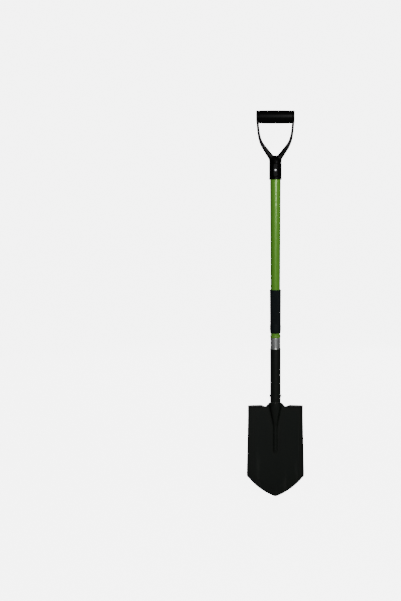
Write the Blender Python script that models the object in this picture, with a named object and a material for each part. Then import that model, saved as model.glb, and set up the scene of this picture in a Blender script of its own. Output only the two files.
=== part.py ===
"""Detecting shovel: a pointed steel blade on a tubular socket, a tapered green tube with a rubber
hand grip, and a moulded D-grip whose crossbar sleeve turns on a riveted rod.

Metres, +Z up, tip of the blade at the origin, working face of the blade towards -Y.
"""
import math

import bmesh
import bpy
from mathutils import Matrix, Vector

# ---------------------------------------------------------------- driving sizes, metres
GAP = 0.0003                 # left between two pieces that touch
TURN_PLAY = 0.0004           # extra play where the crossbar sleeve turns
ROUND_SIDES = 32             # facets round a tube
SLIVER = 0.00003             # edges shorter than this are closed up after a cut

# blade
BLADE_LENGTH = 0.264         # tip to the top of the treads
BLADE_TOP_WIDTH = 0.152
BLADE_LOW_WIDTH = 0.161     # across the two lower corners
BLADE_THICKNESS = 0.0018
POINT_HEIGHT = 0.062         # tip to the lower corners
POINT_EDGE_RADIUS = 0.190    # of the two convex edges that meet at the tip
TIP_ROUNDING = 0.004
DISH_DEPTH = 0.0045          # how far the sides come forward of the middle
EDGE_LIP = 0.0022            # how much more the last few millimetres come forward
EDGE_LIP_WIDTH = 0.006
POINT_LIFT = 0.007           # how far the tip comes forward
STRAIGHT_SIDE = 0.030        # below the treads, before the sides start to spread
TREAD_INNER = 0.036          # centre line to the inner end of a tread
TREAD_END_MARGIN = 0.002     # tread's outer end to the side of the blade
TREAD_REACH = 0.011          # how far a tread is turned forward
TREAD_THICKNESS = 0.0024
SCALLOP_DEPTH = 0.005        # dip between the tread and the neck
SHOULDER_WIDTH = 0.0105      # of the sloping shoulder beside the neck
NECK_HEIGHT = 0.010          # of the blade's half shell above the treads
RIB_WIDTH = 0.011
RIB_HEIGHT = 0.0042
RIB_LENGTH = 0.0755
FROG_CLEARANCE = 0.0012      # round the socket's tapered end
FROG_RUN_OUT = 0.012         # from the end of that taper to the rib
BLADE_COLUMNS = 10           # facets from the frog to the side of the blade
FROG_COLUMNS = 6             # facets from the middle of the frog to its foot
BLADE_ROWS = 26

# socket
SOCKET_LENGTH = 0.148       # from the blade's neck to the mouth
SOCKET_TOP_WALL = 0.0016
SOCKET_WAIST_WALL = 0.0012
SOCKET_MOUTH_ROLL = 0.0004   # the mouth is rolled slightly proud
CONE_LENGTH = 0.048          # tapered end that lies in the frog
CONE_END_DIAMETER = 0.0095
CONE_WALL = 0.0015
WELD_DIAMETER = 0.003
SOCKET_RIVET_HEIGHT = 0.0155  # above the blade's neck
SOCKET_RIVET_DIAMETER = 0.005
SOCKET_RIVET_HEAD = 0.009
SOCKET_RIVET_DOME = 0.0012

# handle tube and what sits on it
TUBE_LOW_DIAMETER = 0.0262
TUBE_TOP_DIAMETER = 0.0288
TUBE_WALL = 0.0015
TUBE_FOOT = 0.003            # blade's neck to the tube's lower end
FERRULE_LENGTH = 0.0312
FERRULE_WALL = 0.0005
COLLAR_LENGTH = 0.0065
COLLAR_WALL = 0.0010
BARE_BAND = 0.0064           # green tube showing between collar and rubber grip
RUBBER_LENGTH = 0.1185
RUBBER_TOP_WALL = 0.0019
RUBBER_LOW_WALL = 0.0014
RUBBER_BEAD = 0.0005         # rings standing proud at the grip's two ends
BARE_TUBE = 0.2946           # green tube showing between rubber grip and D-grip
CORE_PLUG_LENGTH = 0.040

# D-grip
YOKE_SOCKET_LENGTH = 0.0445   # straight part round the tube
YOKE_WALL = 0.0024
YOKE_DOME = 0.019            # from the straight part to the crotch
TUBE_SEAT = 0.048            # how deep the tube goes into the yoke
OPENING_HEIGHT = 0.082       # crotch to the underside of the crossbar
CROSSBAR_LENGTH = 0.0866
CROSSBAR_DIAMETER = 0.0342   # at the crown
CROSSBAR_CROWN = 0.0011      # the ends are this much smaller
CROSSBAR_WALL = 0.0032
BUSH_LENGTH = 0.013
EYE_DIAMETER = 0.0332
EYE_THICKNESS = 0.0068
EYE_ROUNDING = 0.0015
ARM_FOOT_THICKNESS = 0.0153
ARM_TOP_THICKNESS = 0.0060
ARM_FOOT_DEPTH = 0.025
ARM_TOP_DEPTH = 0.0262
ROD_DIAMETER = 0.008
ROD_HEAD_DIAMETER = 0.0135
ROD_HEAD_HEIGHT = 0.0016
WASHER_DIAMETER = 0.0145
WASHER_THICKNESS = 0.0010
COUNTERBORE_MARGIN = 0.0006  # round the washer
BOSS_WIDTH = 0.012
BOSS_LENGTH = 0.036
BOSS_PROUD = 0.0010
GRIP_RIVET_HEIGHT = 0.0236    # above the yoke's lower edge
GRIP_RIVET_DIAMETER = 0.0048
GRIP_RIVET_HEAD = 0.0076
GRIP_RIVET_DOME = 0.0020
GRIP_WASHER_DIAMETER = 0.0105

# ---------------------------------------------------------------- places that follow from them
Z_TREAD = BLADE_LENGTH
Z_NECK = Z_TREAD + NECK_HEIGHT
Z_CONE_TOP = Z_TREAD - SCALLOP_DEPTH / 2
Z_SOCKET_TOP = Z_NECK + SOCKET_LENGTH
Z_FERRULE = Z_SOCKET_TOP + GAP
Z_COLLAR = Z_FERRULE + FERRULE_LENGTH + GAP
Z_RUBBER = Z_COLLAR + COLLAR_LENGTH + BARE_BAND
Z_RUBBER_TOP = Z_RUBBER + RUBBER_LENGTH
Z_YOKE = Z_RUBBER_TOP + BARE_TUBE
Z_CROTCH = Z_YOKE + YOKE_SOCKET_LENGTH + YOKE_DOME
Z_BAR = Z_CROTCH + OPENING_HEIGHT + CROSSBAR_DIAMETER / 2
Z_TUBE_FOOT = Z_NECK + TUBE_FOOT
Z_TUBE_TOP = Z_YOKE + TUBE_SEAT
Z_SOCKET_RIVET = Z_NECK + SOCKET_RIVET_HEIGHT
Z_GRIP_RIVET = Z_YOKE + GRIP_RIVET_HEIGHT

TUBE_LOW_RADIUS = TUBE_LOW_DIAMETER / 2
TUBE_TOP_RADIUS = TUBE_TOP_DIAMETER / 2
SLEEVE_BORE = TUBE_LOW_RADIUS + GAP          # bore of all that slides on the tube's lower part
SOCKET_TOP_RADIUS = SLEEVE_BORE + SOCKET_TOP_WALL
SOCKET_WAIST_RADIUS = SLEEVE_BORE + SOCKET_WAIST_WALL
YOKE_BORE = TUBE_TOP_RADIUS + GAP
YOKE_RADIUS = YOKE_BORE + YOKE_WALL
EYE_INNER = CROSSBAR_LENGTH / 2 + TURN_PLAY
EYE_OUTER = EYE_INNER + EYE_THICKNESS
CROSSBAR_END_RADIUS = CROSSBAR_DIAMETER / 2 - CROSSBAR_CROWN / 2
CROSSBAR_BORE = CROSSBAR_END_RADIUS - CROSSBAR_WALL
COUNTERBORE_FLOOR = EYE_OUTER - (WASHER_THICKNESS + ROD_HEAD_HEIGHT + 3 * GAP)
BOSS_FACE = YOKE_RADIUS + BOSS_PROUD
RIVET_SEAT = BOSS_FACE + WASHER_THICKNESS + 2 * GAP   # under both heads of the grip rivet
NECK_RADIUS = SOCKET_WAIST_RADIUS + FROG_CLEARANCE + BLADE_THICKNESS   # outside of the half shell
PLATE_FACE = 0.001                           # front of the blade's plate beside the frog


# ---------------------------------------------------------------- finishes
def finish_material(name, colour, roughness, metallic=0.0):
    """A Principled BSDF with one colour."""
    material = bpy.data.materials.new(name)
    material.use_nodes = True
    shader = material.node_tree.nodes["Principled BSDF"]
    shader.inputs["Base Color"].default_value = (*colour, 1.0)
    shader.inputs["Roughness"].default_value = roughness
    shader.inputs["Metallic"].default_value = metallic
    material.diffuse_color = (*colour, 1.0)
    return material


# ---------------------------------------------------------------- shape helpers
def clear_scene():
    for obj in list(bpy.data.objects):
        bpy.data.objects.remove(obj)


def object_from(bm, name, material):
    """Close a bmesh into a linked object with smooth round faces."""
    bmesh.ops.recalc_face_normals(bm, faces=bm.faces)
    mesh = bpy.data.meshes.new(name)
    bm.to_mesh(mesh)
    bm.free()
    mesh.shade_smooth()
    mesh.set_sharp_from_angle(angle=math.radians(35))
    obj = bpy.data.objects.new(name, mesh)
    bpy.context.scene.collection.objects.link(obj)
    if material:
        mesh.materials.append(material)
    return obj


def turned(name, outline, material=None, sides=ROUND_SIDES):
    """Spin a closed outline of (radius, height) points round the Z axis."""
    bm = bmesh.new()
    verts = [bm.verts.new((radius, 0, height)) for radius, height in outline]
    edges = []
    for i, (radius, _) in enumerate(outline):
        if radius > 0 or outline[i - 1][0] > 0:
            edges.append(bm.edges.new((verts[i - 1], verts[i])))
    bmesh.ops.spin(bm, geom=verts + edges, cent=(0, 0, 0), axis=(0, 0, 1),
                   angle=2 * math.pi, steps=sides, use_merge=True)
    bmesh.ops.remove_doubles(bm, verts=bm.verts, dist=1e-6)
    return object_from(bm, name, material)


def lofted(name, rings, material=None):
    """Skin a row of rings that have the same number of points, and cap its two ends."""
    bm = bmesh.new()
    loops = [[bm.verts.new(point) for point in ring] for ring in rings]
    for lower, upper in zip(loops, loops[1:]):
        for i in range(len(lower)):
            bm.faces.new((lower[i - 1], lower[i], upper[i], upper[i - 1]))
    bm.faces.new(list(reversed(loops[0])))
    bm.faces.new(loops[-1])
    return object_from(bm, name, material)


def combined(target, tool, operation):
    """Join or cut one object with another, and use the tool up."""
    modifier = target.modifiers.new(tool.name, "BOOLEAN")
    modifier.operation = operation
    modifier.object = tool
    modifier.solver = "EXACT"
    graph = bpy.context.evaluated_depsgraph_get()
    mesh = bpy.data.meshes.new_from_object(target.evaluated_get(graph))
    target.modifiers.remove(modifier)
    bm = bmesh.new()
    bm.from_mesh(mesh)
    bmesh.ops.remove_doubles(bm, verts=bm.verts, dist=SLIVER)
    bmesh.ops.dissolve_degenerate(bm, edges=bm.edges, dist=SLIVER)
    bm.to_mesh(mesh)
    bm.free()
    target.data = mesh
    bpy.data.objects.remove(tool)
    return target


def laid_along_x(obj, height, side=1):
    """Turn a piece made along Z so that it points along +X (or -X) at a height."""
    obj.rotation_euler = (0, side * math.pi / 2, 0)
    obj.location = (0, 0, height)
    bpy.context.view_layer.update()
    return obj


def laid_along_y(obj, height, side=-1):
    """Turn a piece made along Z so that it points along -Y (or +Y) at a height."""
    obj.rotation_euler = (-side * math.pi / 2, 0, 0)
    obj.location = (0, 0, height)
    bpy.context.view_layer.update()
    return obj


def smooth_step(value):
    value = min(1.0, max(0.0, value))
    return value * value * (3 - 2 * value)


def dome_outline(radius, base, height, steps=4):
    """Outline of a shallow dome from its rim to the axis."""
    return [(radius * math.cos(i * math.pi / 2 / steps), base + height * math.sin(i * math.pi / 2 / steps))
            for i in range(steps)] + [(0.0, base + height)]


# ---------------------------------------------------------------- blade
def point_edge_height(x):
    """Height of the lower edge at a distance from the centre line: an arc up to the corner."""
    half = BLADE_LOW_WIDTH / 2
    chord = math.hypot(half, POINT_HEIGHT)
    rise = math.sqrt(POINT_EDGE_RADIUS ** 2 - (chord / 2) ** 2)
    centre_x = half / 2 - rise * POINT_HEIGHT / chord
    centre_z = POINT_HEIGHT / 2 + rise * half / chord
    rounded = half * (math.hypot(x, TIP_ROUNDING) - TIP_ROUNDING) / (math.hypot(half, TIP_ROUNDING) - TIP_ROUNDING)
    return centre_z - math.sqrt(POINT_EDGE_RADIUS ** 2 - (rounded - centre_x) ** 2)


def top_edge_height(x):
    """Height of the upper edge: neck, sloping shoulder, scallop, then the bend of the tread."""
    tread = Z_TREAD - TREAD_THICKNESS / 2
    if x <= NECK_RADIUS + 1e-7:
        return Z_NECK
    dip = Z_TREAD - SCALLOP_DEPTH
    shoulder_end = NECK_RADIUS + SHOULDER_WIDTH
    if x < shoulder_end:
        return Z_NECK + (dip - Z_NECK) * math.sin((x - NECK_RADIUS) / SHOULDER_WIDTH * math.pi / 2)
    scallop_end = TREAD_INNER + 0.001
    return dip + (tread - dip) * smooth_step((x - shoulder_end) / (scallop_end - shoulder_end) * 2 - 1)


def half_width(z):
    """Half the blade's width at a height."""
    spread = (Z_TREAD - STRAIGHT_SIDE - z) / (Z_TREAD - STRAIGHT_SIDE - POINT_HEIGHT)
    spread = min(1.0, max(0.0, spread))
    return (BLADE_TOP_WIDTH + (BLADE_LOW_WIDTH - BLADE_TOP_WIDTH) * spread) / 2


def plate_face(x, z):
    """Where the front of the dished plate lies, without the frog."""
    half = half_width(z)
    lip = smooth_step((abs(x) - half + EDGE_LIP_WIDTH) / EDGE_LIP_WIDTH)
    forward = DISH_DEPTH * (x / half) ** 2 + EDGE_LIP * lip
    forward += POINT_LIFT * max(0.0, 1 - z / Z_TREAD) ** 2
    return PLATE_FACE - forward


def cone_radius(z):
    """Outside radius of the socket's tapered end, which lies in the frog."""
    down = min(1.0, max(0.0, (Z_CONE_TOP - z) / CONE_LENGTH))
    return SOCKET_WAIST_RADIUS + (CONE_END_DIAMETER / 2 - SOCKET_WAIST_RADIUS) * down


def frog_section(z):
    """Half width and height of the raised middle, and how far it has turned from frog into rib."""
    cone_end = Z_CONE_TOP - CONE_LENGTH
    rib_top = cone_end - FROG_RUN_OUT
    as_rib = smooth_step((cone_end - z) / FROG_RUN_OUT)
    shell = cone_radius(z) + FROG_CLEARANCE + BLADE_THICKNESS
    width = shell + (RIB_WIDTH / 2 - shell) * as_rib
    height = shell + (RIB_HEIGHT - shell) * as_rib
    run_out = min(1.0, max(0.0, (z - rib_top + RIB_LENGTH) / RIB_WIDTH))
    return width, height * math.sqrt(1 - (1 - run_out) ** 2), as_rib


def blade_point(column, row, back):
    """One point of the plate's front or back, from its column (-1..1 is -side..+side) and row."""
    side, across = (-1, -column) if column < 0 else (1, column)
    step = across * (FROG_COLUMNS + BLADE_COLUMNS)
    on_frog = step < FROG_COLUMNS
    part = step / FROG_COLUMNS if on_frog else (step - FROG_COLUMNS) / BLADE_COLUMNS
    sine, cosine = math.sin(part * math.pi / 2), math.cos(part * math.pi / 2)

    def distance(frog_half, half):
        return frog_half * sine if on_frog else frog_half + (half - frog_half) * part

    bottom = point_edge_height(distance(RIB_WIDTH / 2, BLADE_LOW_WIDTH / 2))
    top = top_edge_height(distance(NECK_RADIUS, BLADE_TOP_WIDTH / 2))
    z = bottom + (top - bottom) * row
    frog_half, frog_height, as_rib = frog_section(z)
    inset = BLADE_THICKNESS if back else 0.0
    x = distance(frog_half - inset, half_width(z))
    y = plate_face(x, z) + inset
    if on_frog:
        flank = sine ** 8
        y = y * (flank + (1 - flank) * as_rib) - (frog_height - inset * (1 - as_rib)) * cosine
    return Vector((side * x, y, z))


def blade_plate(material):
    """The stamped sheet: dished plate, raised frog and rib, and the half shell of the neck."""
    total = FROG_COLUMNS + BLADE_COLUMNS
    columns = [i / total for i in range(-total, total + 1)]
    rows = [i / BLADE_ROWS for i in range(BLADE_ROWS + 1)]
    bm = bmesh.new()
    sheets = [[[bm.verts.new(blade_point(c, r, back)) for c in columns] for r in rows] for back in (False, True)]
    for sheet in sheets:
        for lower, upper in zip(sheet, sheet[1:]):
            for i in range(1, len(lower)):
                bm.faces.new((lower[i - 1], lower[i], upper[i], upper[i - 1]))
    front, rear = sheets
    rim_front = front[0] + [row[-1] for row in front[1:]] + front[-1][-2::-1] + [row[0] for row in front[-2:0:-1]]
    rim_rear = rear[0] + [row[-1] for row in rear[1:]] + rear[-1][-2::-1] + [row[0] for row in rear[-2:0:-1]]
    for i in range(len(rim_front)):
        bm.faces.new((rim_front[i - 1], rim_front[i], rim_rear[i], rim_rear[i - 1]))
    return object_from(bm, "blade", material)


def tread(side):
    """A foot tread, turned forward from the top edge and following the dish."""
    outer = BLADE_TOP_WIDTH / 2 - TREAD_END_MARGIN
    stations = 6
    rings = []
    for i in range(stations + 1):
        x = TREAD_INNER + (outer - TREAD_INNER) * i / stations
        rear = plate_face(x, Z_TREAD) + BLADE_THICKNESS
        nose = plate_face(x, Z_TREAD) - TREAD_REACH
        low, high = Z_TREAD - TREAD_THICKNESS, Z_TREAD
        round_off = TREAD_THICKNESS * 0.3
        section = [(rear, low), (rear, high - round_off), (rear - round_off, high), (nose + round_off, high),
                   (nose, high - round_off), (nose, low + round_off), (nose + round_off, low)]
        rings.append([Vector((side * x, y, z)) for y, z in section])
    return lofted("tread", rings)


def build_blade(paint):
    blade = blade_plate(paint)
    for side in (-1, 1):
        combined(blade, tread(side), "UNION")
    return blade


# ---------------------------------------------------------------- socket
def build_socket(paint):
    """The tube that holds the handle; its lower end tapers into the blade's frog."""
    z_cone_end = Z_CONE_TOP - CONE_LENGTH
    roll = 0.0025
    outline = [
        (0.0, z_cone_end), (cone_radius(z_cone_end), z_cone_end), (SOCKET_WAIST_RADIUS, Z_CONE_TOP),
        (SOCKET_WAIST_RADIUS, Z_NECK + SOCKET_LENGTH * 0.15),
        (SOCKET_TOP_RADIUS - SOCKET_MOUTH_ROLL, Z_SOCKET_TOP - 2 * roll),
        (SOCKET_TOP_RADIUS, Z_SOCKET_TOP - roll), (SOCKET_TOP_RADIUS, Z_SOCKET_TOP - SOCKET_MOUTH_ROLL),
        (SOCKET_TOP_RADIUS - SOCKET_MOUTH_ROLL, Z_SOCKET_TOP), (SLEEVE_BORE, Z_SOCKET_TOP),
        (SLEEVE_BORE, Z_TUBE_FOOT - GAP), (SOCKET_WAIST_RADIUS - CONE_WALL, Z_TUBE_FOOT - 2 * GAP),
        (SOCKET_WAIST_RADIUS - CONE_WALL, Z_CONE_TOP),
        (cone_radius(z_cone_end) - CONE_WALL, z_cone_end + 2 * CONE_WALL), (0.0, z_cone_end + 2 * CONE_WALL)]
    socket = turned("socket_tube", outline, paint)
    combined(socket, cross_hole(SOCKET_RIVET_DIAMETER, Z_SOCKET_RIVET, laid_along_x), "DIFFERENCE")
    return socket


def cross_hole(diameter, height, lay):
    """A round cutter right through the handle for a rivet of this diameter."""
    radius = diameter / 2 + GAP
    reach = 2 * YOKE_RADIUS
    cutter = turned("hole", [(0, -reach), (radius, -reach), (radius, reach), (0, reach)], sides=16)
    cutter.hide_render = True
    cutter.display_type = "WIRE"
    return lay(cutter, height)


def build_welds(steel):
    """Two weld beads behind the blade, in the corners between the socket's taper and the plate."""
    z_end = Z_CONE_TOP - CONE_LENGTH
    radius = WELD_DIAMETER / 2
    behind = PLATE_FACE + BLADE_THICKNESS + GAP + radius
    stations = 12
    for name, side in (("frog_weld_left", -1), ("frog_weld_right", 1)):
        rings = []
        for i in range(stations + 1):
            z = z_end + CONE_END_DIAMETER / 2 + (Z_CONE_TOP - z_end - CONE_END_DIAMETER / 2) * i / stations
            x = math.sqrt((cone_radius(z) + GAP + radius) ** 2 - behind ** 2)
            size = radius * (0.55 if i in (0, stations) else 1.0)
            rings.append([Vector((side * (x + size * math.cos(a)), behind + size * math.sin(a), z))
                          for a in (k * math.pi / 4 for k in range(8))])
        lofted(name, rings, steel)


def through_rivet(name, material, diameter, head, dome, front_seat, rear_seat, lay, height):
    """A headed rivet, closed over at its far end; its seats are distances from the handle's axis."""
    shank = diameter / 2
    outline = [(0.0, -rear_seat - dome)]
    outline += [(r, -z) for r, z in reversed(dome_outline(head / 2, rear_seat, dome))][1:]
    outline += [(shank, -rear_seat), (shank, front_seat)]
    outline += dome_outline(head / 2, front_seat, dome)
    return lay(turned(name, outline, material, sides=20), height)


# ---------------------------------------------------------------- handle
def build_handle_tube(paint):
    """Straight in the socket and the grip, tapering up to the D-grip."""
    inner_low, inner_top = TUBE_LOW_RADIUS - TUBE_WALL, TUBE_TOP_RADIUS - TUBE_WALL
    outline = [
        (TUBE_LOW_RADIUS, Z_TUBE_FOOT), (TUBE_LOW_RADIUS, Z_RUBBER_TOP), (TUBE_TOP_RADIUS, Z_YOKE),
        (TUBE_TOP_RADIUS, Z_TUBE_TOP), (inner_top, Z_TUBE_TOP), (inner_top, Z_YOKE),
        (inner_low, Z_RUBBER_TOP), (inner_low, Z_TUBE_FOOT)]
    tube = turned("handle_tube", outline, paint)
    combined(tube, cross_hole(SOCKET_RIVET_DIAMETER, Z_SOCKET_RIVET, laid_along_x), "DIFFERENCE")
    combined(tube, cross_hole(GRIP_RIVET_DIAMETER, Z_GRIP_RIVET, laid_along_y), "DIFFERENCE")
    return tube


def core_plug(name, material, radius, low, rivet_diameter, rivet_height, lay):
    """A plug inside the tube that keeps a rivet from crushing it."""
    chamfer = 0.001
    high = low + CORE_PLUG_LENGTH
    outline = [(0.0, low), (radius - chamfer, low), (radius, low + chamfer), (radius, high - chamfer),
               (radius - chamfer, high), (0.0, high)]
    plug = turned(name, outline, material, sides=32)
    return combined(plug, cross_hole(rivet_diameter, rivet_height, lay), "DIFFERENCE")


def build_ferrule(steel):
    outer = SLEEVE_BORE + FERRULE_WALL
    edge = FERRULE_WALL / 3
    top = Z_FERRULE + FERRULE_LENGTH
    outline = [(SLEEVE_BORE, Z_FERRULE), (outer - edge, Z_FERRULE), (outer, Z_FERRULE + edge),
               (outer, top - edge), (outer - edge, top), (SLEEVE_BORE, top)]
    return turned("ferrule", outline, steel)


def build_collar(plastic):
    """Round-edged stop ring above the ferrule."""
    wall = COLLAR_WALL
    outer = SLEEVE_BORE + wall
    middle = Z_COLLAR + COLLAR_LENGTH / 2
    steps = 6
    outline = [(SLEEVE_BORE, Z_COLLAR + COLLAR_LENGTH), (SLEEVE_BORE, Z_COLLAR)]
    for i in range(steps + 1):
        angle = math.pi * (i / steps - 0.5)
        outline.append((outer - wall * 0.6 * (1 - math.cos(angle)), middle + COLLAR_LENGTH / 2 * math.sin(angle)))
    return turned("collar_ring", outline, plastic)


def build_rubber_grip(rubber):
    """Rubber sleeve that narrows downwards, with a bead at each end and a band near the lower one."""
    def radius(z):
        up = (z - Z_RUBBER) / RUBBER_LENGTH
        return SLEEVE_BORE + RUBBER_LOW_WALL + (RUBBER_TOP_WALL - RUBBER_LOW_WALL) * up

    bead = 0.003
    band_low, band_high = Z_RUBBER + 0.006, Z_RUBBER + 0.022
    end_round = 0.0012
    top = Z_RUBBER_TOP
    outline = [(SLEEVE_BORE, top), (SLEEVE_BORE, Z_RUBBER), (radius(Z_RUBBER) - end_round, Z_RUBBER),
               (radius(Z_RUBBER), Z_RUBBER + end_round)]
    outline += [(radius(band_low), band_low - RUBBER_BEAD), (radius(band_low) + RUBBER_BEAD, band_low),
                (radius(band_high) + RUBBER_BEAD, band_high), (radius(band_high), band_high + RUBBER_BEAD)]
    outline += [(radius(top - bead), top - bead), (radius(top) + RUBBER_BEAD, top - bead + RUBBER_BEAD),
                (radius(top) + RUBBER_BEAD, top - end_round), (radius(top) - end_round / 2, top)]
    return turned("rubber_grip", outline, rubber)


# ---------------------------------------------------------------- D-grip
def arm_centre(t):
    """Centre line of the right arm, from inside the yoke's socket up to the eye."""
    height = Z_BAR - Z_CROTCH
    eye_x = (EYE_INNER + EYE_OUTER) / 2
    foot = Vector((YOKE_RADIUS * 0.61, 0, Z_CROTCH - height * 0.062))
    lean = Vector((eye_x * 0.765, 0, Z_CROTCH + height * 0.303))
    rise = Vector((eye_x * 0.931, 0, Z_CROTCH + height * 0.288))
    top = Vector((eye_x, 0, Z_BAR - EYE_DIAMETER * 0.3))
    return foot * (1 - t) ** 3 + lean * 3 * t * (1 - t) ** 2 + rise * 3 * t * t * (1 - t) + top * t ** 3


def arm(side):
    """One arm of the yoke: a rounded bar that thins upwards and widens front to back at the eye."""
    stations, corners = 10, 12
    rings = []
    for i in range(stations + 1):
        t = i / stations
        centre = arm_centre(t)
        along = (arm_centre(min(1, t + 0.01)) - arm_centre(max(0, t - 0.01))).normalized()
        across = Vector((along.z, 0, -along.x))
        thickness = ARM_TOP_THICKNESS + (ARM_FOOT_THICKNESS - ARM_TOP_THICKNESS) * (1 - t) ** 1.76
        depth = ARM_FOOT_DEPTH + (ARM_TOP_DEPTH - ARM_FOOT_DEPTH) * t ** 4
        ring = []
        for k in range(corners):
            angle = 2 * math.pi * (k + 0.5) / corners
            c, s = math.cos(angle), math.sin(angle)
            squared = (abs(c) ** 4 + abs(s) ** 4) ** -0.25
            point = centre + across * (thickness / 2 * squared * c) + Vector((0, depth / 2 * squared * s, 0))
            ring.append(Vector((side * point.x, point.y, point.z)))
        rings.append(ring)
    return lofted("arm", rings)


def eye(side):
    """The disc at the top of an arm: rod hole, and a counterbore for washer and rivet head."""
    radius = EYE_DIAMETER / 2
    hole = ROD_DIAMETER / 2 + GAP
    counterbore = WASHER_DIAMETER / 2 + COUNTERBORE_MARGIN
    outline = [(hole, EYE_INNER), (radius, EYE_INNER), (radius, EYE_OUTER - EYE_ROUNDING),
               (radius - EYE_ROUNDING * 0.3, EYE_OUTER - EYE_ROUNDING * 0.3), (radius - EYE_ROUNDING, EYE_OUTER),
               (counterbore, EYE_OUTER), (counterbore, COUNTERBORE_FLOOR), (hole, COUNTERBORE_FLOOR)]
    return laid_along_x(turned("eye", outline), Z_BAR, side)


def boss():
    """Oblong pad through the yoke's socket: deeper in front, where the rivet has no washer."""
    half, straight = BOSS_WIDTH / 2, (BOSS_LENGTH - BOSS_WIDTH) / 2
    ring = []
    steps = 8
    for end in (1, -1):
        for i in range(steps + 1):
            angle = math.pi * i / steps
            ring.append((end * half * math.cos(angle), Z_GRIP_RIVET + end * (straight + half * math.sin(angle))))
    return lofted("boss", [[Vector((x, y, z)) for x, z in ring] for y in (GAP - RIVET_SEAT, BOSS_FACE)])


def build_yoke(plastic):
    """Moulded yoke: socket, two arms and their eyes."""
    z_straight = Z_YOKE + YOKE_SOCKET_LENGTH
    lip = 0.0025
    narrowed = YOKE_RADIUS - 0.0004
    outline = [(0.0, Z_YOKE), (YOKE_RADIUS - lip / 2, Z_YOKE), (YOKE_RADIUS, Z_YOKE + lip),
               (YOKE_RADIUS, z_straight - 0.010)]
    outline += dome_outline(narrowed, z_straight, YOKE_DOME, steps=6)
    yoke = turned("grip_yoke", outline, plastic)
    for side in (-1, 1):
        combined(yoke, arm(side), "UNION")
    for side in (-1, 1):
        combined(yoke, eye(side), "UNION")
    combined(yoke, boss(), "UNION")
    low, seat = Z_YOKE - 0.01, Z_TUBE_TOP + GAP
    combined(yoke, turned("bore", [(0, low), (YOKE_BORE, low), (YOKE_BORE, seat), (0, seat)]), "DIFFERENCE")
    combined(yoke, cross_hole(GRIP_RIVET_DIAMETER, Z_GRIP_RIVET, laid_along_y), "DIFFERENCE")
    return yoke


def washer(name, material, diameter, hole, low, thickness):
    """A flat washer whose lower face is at a distance along its own axis."""
    edge = thickness * 0.15
    outer = diameter / 2
    outline = [(hole, low), (outer - edge, low), (outer, low + edge), (outer, low + thickness - edge),
               (outer - edge, low + thickness), (hole, low + thickness)]
    return turned(name, outline, material, sides=24)


def build_crossbar(plastic, nylon, pivot):
    """Sleeve with a slight crown and a bush pressed into each end; all three turn on the rod."""
    half = CROSSBAR_LENGTH / 2
    steps = 6
    outline = []
    for i in range(steps + 1):
        across = 2 * i / steps - 1
        radius = CROSSBAR_DIAMETER / 2 - CROSSBAR_CROWN / 2 * across * across
        outline.append((radius, across * half))
    outline += [(CROSSBAR_BORE, half), (CROSSBAR_BORE, -half)]
    sleeve = turned("crossbar_sleeve", outline, plastic)
    pieces = [sleeve]
    hole = ROD_DIAMETER / 2 + TURN_PLAY
    for name, low in (("crossbar_bush_left", -half), ("crossbar_bush_right", half - BUSH_LENGTH)):
        pieces.append(washer(name, nylon, 2 * (CROSSBAR_BORE - GAP), hole, low, BUSH_LENGTH))
    for piece in pieces:
        piece.parent = pivot
        piece.rotation_euler = (0, math.pi / 2, 0)


def build_rod(steel):
    """The rod through both eyes, headed at one end and closed over a washer at the other."""
    seat = COUNTERBORE_FLOOR + WASHER_THICKNESS + 2 * GAP
    rod = through_rivet("crossbar_rod", steel, ROD_DIAMETER, ROD_HEAD_DIAMETER, ROD_HEAD_HEIGHT, seat, seat,
                        laid_along_x, Z_BAR)
    for name, side in (("rod_washer_left", -1), ("rod_washer_right", 1)):
        ring = washer(name, steel, WASHER_DIAMETER, ROD_DIAMETER / 2 + GAP, COUNTERBORE_FLOOR + GAP,
                      WASHER_THICKNESS)
        laid_along_x(ring, Z_BAR, side)
    return rod


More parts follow.
